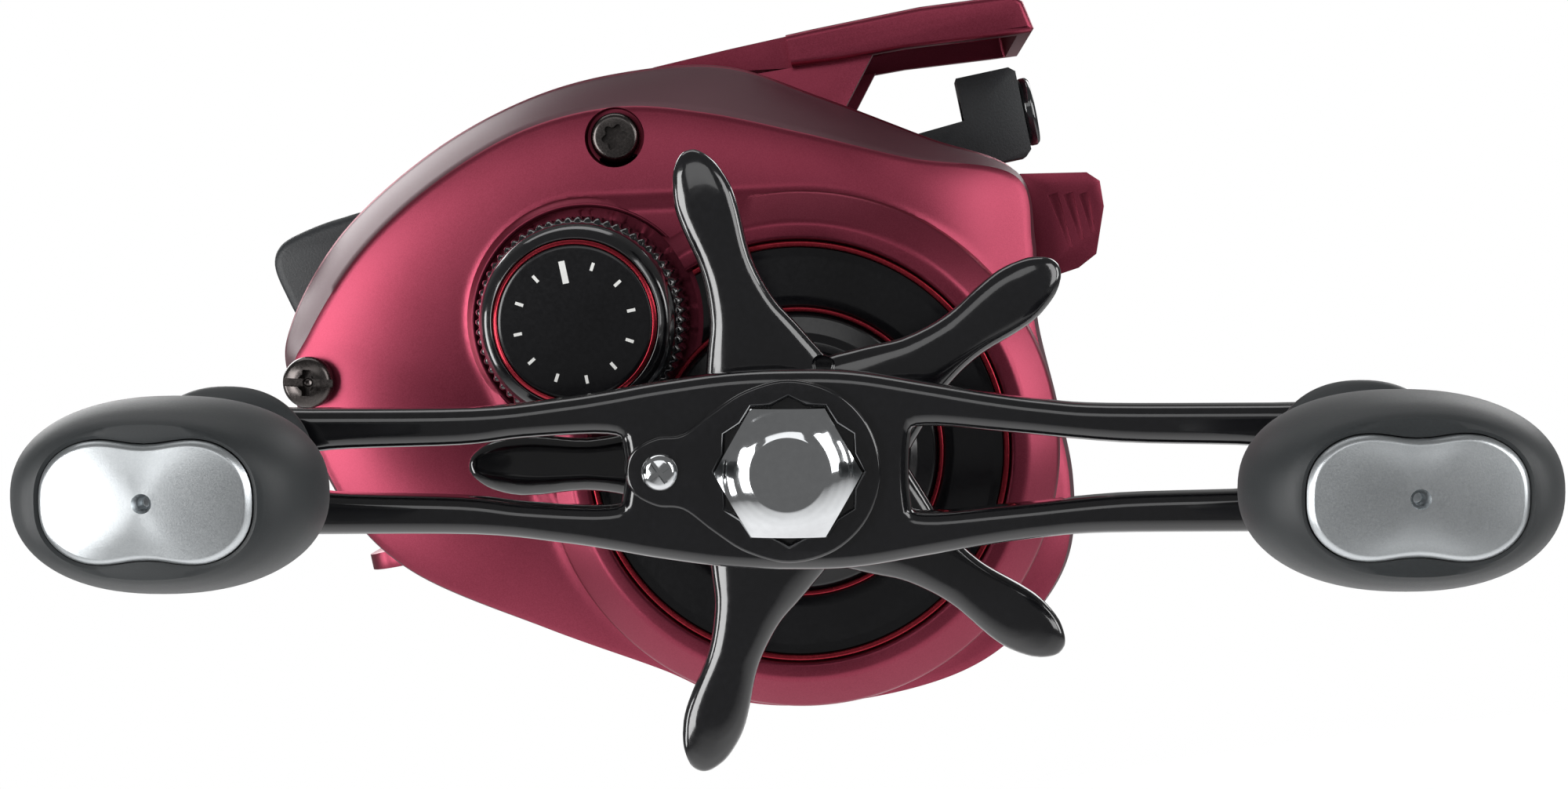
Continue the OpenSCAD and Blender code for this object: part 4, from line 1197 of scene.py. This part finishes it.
@dataclass
class Knob:
    """A paddle knob: a soft grip with a flared foot and a peanut-shaped metal cap."""

    side: KnobSide
    sections: tuple[tuple[float, float, float], ...] = (
        # out, half length, half width
        (50.9, 6.0, 6.0), (51.4, 6.8, 6.8), (52.3, 6.95, 6.95), (53.3, 6.3, 6.2), (54.6, 5.2, 5.1),
        (56.4, 5.6, 5.15), (59.0, 7.5, 5.8), (62.0, 9.7, 6.5), (65.0, 11.0, 6.95), (67.6, 11.3, 7.1),
        (70.0, 10.95, 6.95), (72.0, 10.1, 6.5), (73.3, 9.1, 5.9), (73.9, 8.25, 5.45),
    )

    cap_half_l: float = 7.55
    cap_half_w: float = 4.9
    cap_out: float = 74.0
    cap_round: float = 0.5
    cap_pinch: float = 0.85
    cap_power: float = 2.5

    @staticmethod
    def paddle(half_l: float, half_w: float, out: float, pinch: float = 0.0,
               power: float = 2.25) -> list[Vector]:
        """Give a ring shaped as a superellipse, drawn in by pinch at the middle of its long sides."""
        ring = []
        for i in range(96):
            a = math.tau * i / 96
            c, s = math.cos(a), math.sin(a)
            x = half_l * math.copysign(abs(c) ** (2 / power), c)
            z = half_w * math.copysign(abs(s) ** (2 / power), s)
            z -= pinch * math.copysign(1, s) * abs(s) * math.exp(-((x / (half_l * 0.42)) ** 2))
            ring.append(at(x, out, z))
        return ring

    def cap_ring(self, inset: float, out: float) -> list[Vector]:
        """Give the cap's outline, drawn in by inset, at a distance out."""
        return self.paddle(self.cap_half_l - inset, self.cap_half_w - inset, out, self.cap_pinch,
                           self.cap_power)

    def build(self) -> None:
        """Loft the grip and its cap, and put them on the handle's end."""
        word = self.side.name.lower()
        rows = smooth_rows(self.sections, 4)
        rings = [self.paddle(a, b, out) for out, a, b in rows]
        rings += [self.paddle(7.9, 5.2, self.cap_out, 0.7, self.cap_power),
                  self.paddle(7.65, 5.0, 73.9, self.cap_pinch, self.cap_power),
                  self.paddle(7.6, 4.96, 72.4, self.cap_pinch, self.cap_power)]
        grip = combine(loft(rings), Join.CUT, cylinder((0, 0), 3.1, 40, 53.6, 48))
        self.place(f"knob_grip_{word}_moulding", grip, f"knob_grip_{word}", SOFT_RUBBER)
        cap_rings = [self.cap_ring(0, 72.5), self.cap_ring(0, self.cap_out)]
        for t in (0.15, 0.35, 0.6, 0.85, 1.0):
            rise = 0.45 * math.sin(t * math.pi / 2)
            cap_rings.append(self.cap_ring(self.cap_round * t, self.cap_out + rise))
        for t in (0.85, 0.65, 0.45, 0.25, 0.1):
            cap_rings.append(self.paddle((self.cap_half_l - self.cap_round) * t,
                                         (self.cap_half_w - self.cap_round) * t,
                                         74.45 + 0.5 * (1 - t * t), self.cap_pinch * t,
                                         self.cap_power - 0.5 * (1 - t)))
        hole = lathe(fillet([(0, 73.2), (0.42, 73.2), (0.42, 74.4), (0.8, 75.1), (0.8, 76), (0, 76)], 0.1),
                     (0, 0), 40)
        cap = combine(loft(cap_rings), Join.CUT, hole)
        self.place(f"knob_cap_{word}_plate", cap, f"knob_cap_{word}", SATIN_SILVER)

    def place(self, name: str, bm: bmesh.types.BMesh, node: str, finish: Finish) -> None:
        """Put a knob shape on its end of the handle and finish it."""
        move = Matrix.Translation((self.side.value * HANDLE_SPAN / 2, 0, 0))
        bmesh.ops.transform(bm, matrix=move, verts=bm.verts)
        finish_piece(name, on_handle(bm), node, [finish], 35)


# ---------------------------------------------------------------- screws


@dataclass
class CoverScrews:
    """The dark screws that hold the handle side cover."""

    def build(self) -> None:
        """Build the recessed socket screw, the slotted cross screw and the one driven from inside."""
        top = centre_of("top_cover_screw")
        head = lathe(fillet([(0, 26.6), (2.15, 26.6), (2.15, 27.3), (1.85, 27.8), (0, 27.8)], 0.25), top, 64)
        star = []
        for i in range(48):
            a = math.tau * i / 48
            r = 1.0 + 0.17 * math.cos(6 * a)
            star.append((top[0] + r * math.cos(a), top[1] + r * math.sin(a)))
        head = combine(head, Join.CUT, slab([star], 26.9, 29, 0.02, 1))
        finish_piece("top_cover_screw_head", head, "top_cover_screw", [BLACK_NICKEL], 30)
        spot = rear_screw_spot()
        body = lathe(fillet([(0, 28.05), (2.25, 28.05), (2.25, 28.8), (2.0, 29.25), (1.2, 29.55),
                             (0, 29.62)], 0.25),
                     spot, 64)
        slot = [(-2.7, -0.36), (2.7, -0.36), (2.7, 0.36), (-2.7, 0.36)]
        cross = [(-0.36, -1.15), (0.36, -1.15), (0.36, 1.15), (-0.36, 1.15)]
        turn = math.radians(-14)
        for bar, depth in ((slot, 28.85), (cross, 28.7)):
            turned = [(spot[0] + x * math.cos(turn) - z * math.sin(turn),
                       spot[1] + x * math.sin(turn) + z * math.cos(turn)) for x, z in bar]
            body = combine(body, Join.CUT, slab([turned], depth, 31, 0.02, 1))
        dish = lathe(fillet([(0, 28.5), (0.35, 28.6), (0.8, 29.5), (0.9, 30.5), (0, 30.5)], 0.1), spot, 32)
        body = combine(body, Join.CUT, dish)
        inner = inner_screw_spot()
        sunk = lathe([(0, 13.15), (1.9, 13.15), (2.05, 13.25), (1.2, 14.1), (1.2, 23.9), (0, 23.9)], inner,
                     48)
        groove = slab([[(inner[0] + x, inner[1] + z) for x, z in ((-2.6, -0.3), (2.6, -0.3), (2.6, 0.3),
                                                                  (-2.6, 0.3))]], 12.5, 13.6, 0.02, 1)
        absorb(body, combine(sunk, Join.CUT, groove))
        finish_piece("slotted_cover_screw_heads", body, "slotted_cover_screws", [BLACK_NICKEL], 30)


# ---------------------------------------------------------------- frame side pieces


@dataclass
class Hood:
    """The bridge over the line guide, a shallow channel with a bright lower edge."""

    outline: tuple[Point, ...] = (
        (4.6, 40.6), (7, 41.0), (14, 41.15), (22, 41.2), (32, 41.1), (40.4, 40.4), (41.3, 39.6), (41.8, 37.0),
        (41.5, 36.7), (38.8, 36.9), (30, 37.7), (24, 37.9), (19, 38.3), (14, 39.1), (9, 40.0),
    )

    def build(self) -> None:
        """Extrude the side view, hollow it from below and soften it."""
        low, high = node_box("front_hood")
        bm = slab([self.outline], -high.y, -low.y, 0.55, 4)
        hollow = slab([[(22, 35), (29, 35), (36, 34), (40.4, 34), (40.2, 38.9), (32, 39.8), (22, 39.9)]],
                      -12.9, 12.9, 0.5, 3)
        side = slab([[(0, 36), (19.5, 36), (19.5, 44), (0, 44)]], 12.9, 20, 0.05, 1)
        other = slab([[(0, 36), (19.5, 36), (19.5, 44), (0, 44)]], -20, -12.9, 0.05, 1)
        bm = combine(bm, Join.CUT, hollow, side, other)
        finish_piece("front_hood_casting", bm, "front_hood", [RED_PAINT], 30)


@dataclass
class ThumbBar:
    """The moulded thumb bar between the side plates."""

    outline: tuple[Point, ...] = (
        (-30.5, 24.7), (-31.6, 27.8), (-32.0, 30.6), (-31.0, 32.3), (-28.6, 33.1), (-25, 33.6), (-21.6, 33.4),
        (-19, 30), (-18.9, 25.6), (-21, 24.4), (-24, 27.4), (-28.4, 25.4),
    )

    def build(self) -> None:
        """Extrude the bar with well-rounded edges and keep its two lugs."""
        low, high = node_box("thumb_bar")
        bm = slab([smooth_loop(self.outline, 6)], -12.3, 12.3, 0.9, 4)
        lug = (-20.5, 26.0)
        bm = combine(bm, Join.WELD, cylinder(lug, 1.0, 12.0, -low.y, 40),
                     cylinder(lug, 1.0, -12.6, -11.5, 40))
        finish_piece("thumb_bar_moulding", bm, "thumb_bar", [MOULDED_BLACK], 35)


def dress_plain_nodes() -> None:
    """Give every CAD node that still shows a smooth copy or the finish of its slot."""
    for node, edge in (("frame", 0.25), ("reel_foot", 0.25), ("line_guide", 0.3), ("line_guide_ring", 0.12),
                       ("spool", 0.12), ("brake_rotor", 0.1), ("palm_cover_screws", 0.15),
                       ("brake_dial", 0.2),
                       ("foot_rivets", 0.1), ("guide_bar", 0.1), ("worm_guard_tube", 0.1),
                       ("handle_spacer", 0.15),
                       ("drag_spring_washers", 0.08), ("clutch_sleeve", 0.08), ("knob_posts", 0.1)):
        refined(node, edge)
    for name, obj in frame["nodes"].items():
        obj.data.materials.clear()
        obj.data.materials.append(SLOT_FINISH[slot_of(name)].material())


# ---------------------------------------------------------------- floor, light and camera


@dataclass
class Studio:
    """Plain floor, soft lights and the camera."""

    lens_mm: float = 58.5
    eye: tuple[float, float, float] = (0.0255, -0.249, 0.0196)
    look: tuple[float, float, float] = (-0.0553, 1.0, -0.0453)
    up: tuple[float, float, float] = (0.2079, 0.0, 0.978)
    floor_z: float = -0.1
    floor_r: float = 0.32

    def light(self, name: str, place: Sequence[float], size: Point, power: float, colour: str = "#FFFFFF",
              target: Sequence[float] = (0.01, -0.02, 0.012)) -> None:
        """Add one soft rectangular light that faces the reel.

        Args:
            name: The light's name.
            place: Where it stands, in metres.
            size: Its width and height, in metres.
            power: Its power in watts.
            colour: Its colour.
            target: What it points at.
        """
        data = bpy.data.lights.new(name, "AREA")
        data.shape = "RECTANGLE"
        data.size, data.size_y = size
        data.energy = power
        data.color = srgb(colour)[:3]
        obj = bpy.data.objects.new(name, data)
        obj.location = place
        obj.rotation_euler = (Vector(target) - Vector(place)).to_track_quat("-Z", "Y").to_euler()
        bpy.context.scene.collection.objects.link(obj)

    def floor_paper(self) -> bpy.types.Material:
        """Make the pale paper that the reel stands over, which fades into the bright surround."""
        mat = Finish("pale_floor_paper", "#F4F4F4", "#F8F8F8", roughness=0.8, roughness_2=0.9).material()
        tree = mat.node_tree
        shader = next(n for n in tree.nodes if n.type == "BSDF_PRINCIPLED")
        shader.inputs["Emission Color"].default_value = srgb("#FFFFFF")
        shader.inputs["Emission Strength"].default_value = 0.3
        where = add_node(tree, "ShaderNodeTexCoord").outputs["Object"]
        reach = add_node(tree, "ShaderNodeVectorMath", {"operation": "LENGTH"}, in0=where).outputs["Value"]
        fade = add_node(tree, "ShaderNodeMapRange", Value=reach)
        fade.inputs["From Min"].default_value = self.floor_r * 0.3
        fade.inputs["From Max"].default_value = self.floor_r * 0.97
        clear = add_node(tree, "ShaderNodeBsdfTransparent")
        mix = add_node(tree, "ShaderNodeMixShader", in0=fade.outputs[0], in1=shader.outputs[0],
                       in2=clear.outputs[0])
        out = next(n for n in tree.nodes if n.type == "OUTPUT_MATERIAL")
        tree.links.new(mix.outputs[0], out.inputs["Surface"])
        return mat

    def build(self) -> None:
        """Build the floor, the lights, the surround and the camera."""
        scene = bpy.context.scene
        bm = bmesh.new()
        bmesh.ops.create_circle(bm, cap_ends=True, segments=96, radius=self.floor_r)
        mesh = bpy.data.meshes.new("floor")
        bm.to_mesh(mesh)
        bm.free()
        mesh.materials.append(self.floor_paper())
        floor = bpy.data.objects.new("floor", mesh)
        floor.location.z = self.floor_z
        scene.collection.objects.link(floor)
        self.light("key_left", (-0.34, -0.40, 0.09), (0.24, 0.40), 2.1)
        self.light("fill_right", (0.42, -0.34, 0.10), (0.22, 0.4), 0.95)
        self.light("front_high", (0.03, -0.62, 0.3), (0.4, 0.2), 0.3)
        self.light("top_strip", (0.0, 0.1, 0.5), (0.5, 0.2), 0.5)
        self.light("side_left", (-0.62, -0.15, 0.03), (0.16, 0.34), 1.2)
        self.light("side_right", (0.62, -0.15, 0.03), (0.16, 0.34), 1.0)
        self.light("back_left", (-0.3, 0.5, 0.3), (0.3, 0.3), 1.3)
        self.light("back_right", (0.4, 0.45, 0.25), (0.3, 0.3), 1.1)
        world = bpy.data.worlds.new("studio")
        world.use_nodes = True
        tree = world.node_tree
        tree.nodes.clear()
        seen = add_node(tree, "ShaderNodeLightPath").outputs["Is Camera Ray"]
        dim = add_node(tree, "ShaderNodeBackground", Color=srgb("#FFFFFF"), Strength=0.16)
        white = add_node(tree, "ShaderNodeBackground", Color=srgb("#FFFFFF"), Strength=1.0)
        mix = add_node(tree, "ShaderNodeMixShader", in0=seen, in1=dim.outputs[0], in2=white.outputs[0])
        add_node(tree, "ShaderNodeOutputWorld", Surface=mix.outputs[0])
        scene.world = world
        scene.view_settings.view_transform = "Standard"
        camera = bpy.data.cameras.new("camera")
        camera.lens = self.lens_mm
        camera.sensor_width = 36
        camera.clip_start = 0.01
        camera.clip_end = 20
        obj = bpy.data.objects.new("camera", camera)
        forward = Vector(self.look).normalized()
        right = forward.cross(Vector(self.up)).normalized()
        true_up = right.cross(forward)
        turn = Matrix((right, true_up, -forward)).transposed().to_4x4()
        obj.matrix_world = Matrix.Translation(self.eye) @ turn
        scene.collection.objects.link(obj)
        scene.camera = obj


def main() -> None:
    """Build every sub-assembly in order."""
    Studio().build()
    HandleCover().build()
    PalmCover().build()
    BossTrim().build()
    CastControl().build()
    StarDrag().build()
    handle = Handle()
    handle.arm()
    handle.nut()
    handle.retainer()
    for side in KnobSide:
        Knob(side).build()
    CoverScrews().build()
    Hood().build()
    ThumbBar().build()
    dress_plain_nodes()
    bpy.context.view_layer.update()


if __name__ == "__main__":
    main()
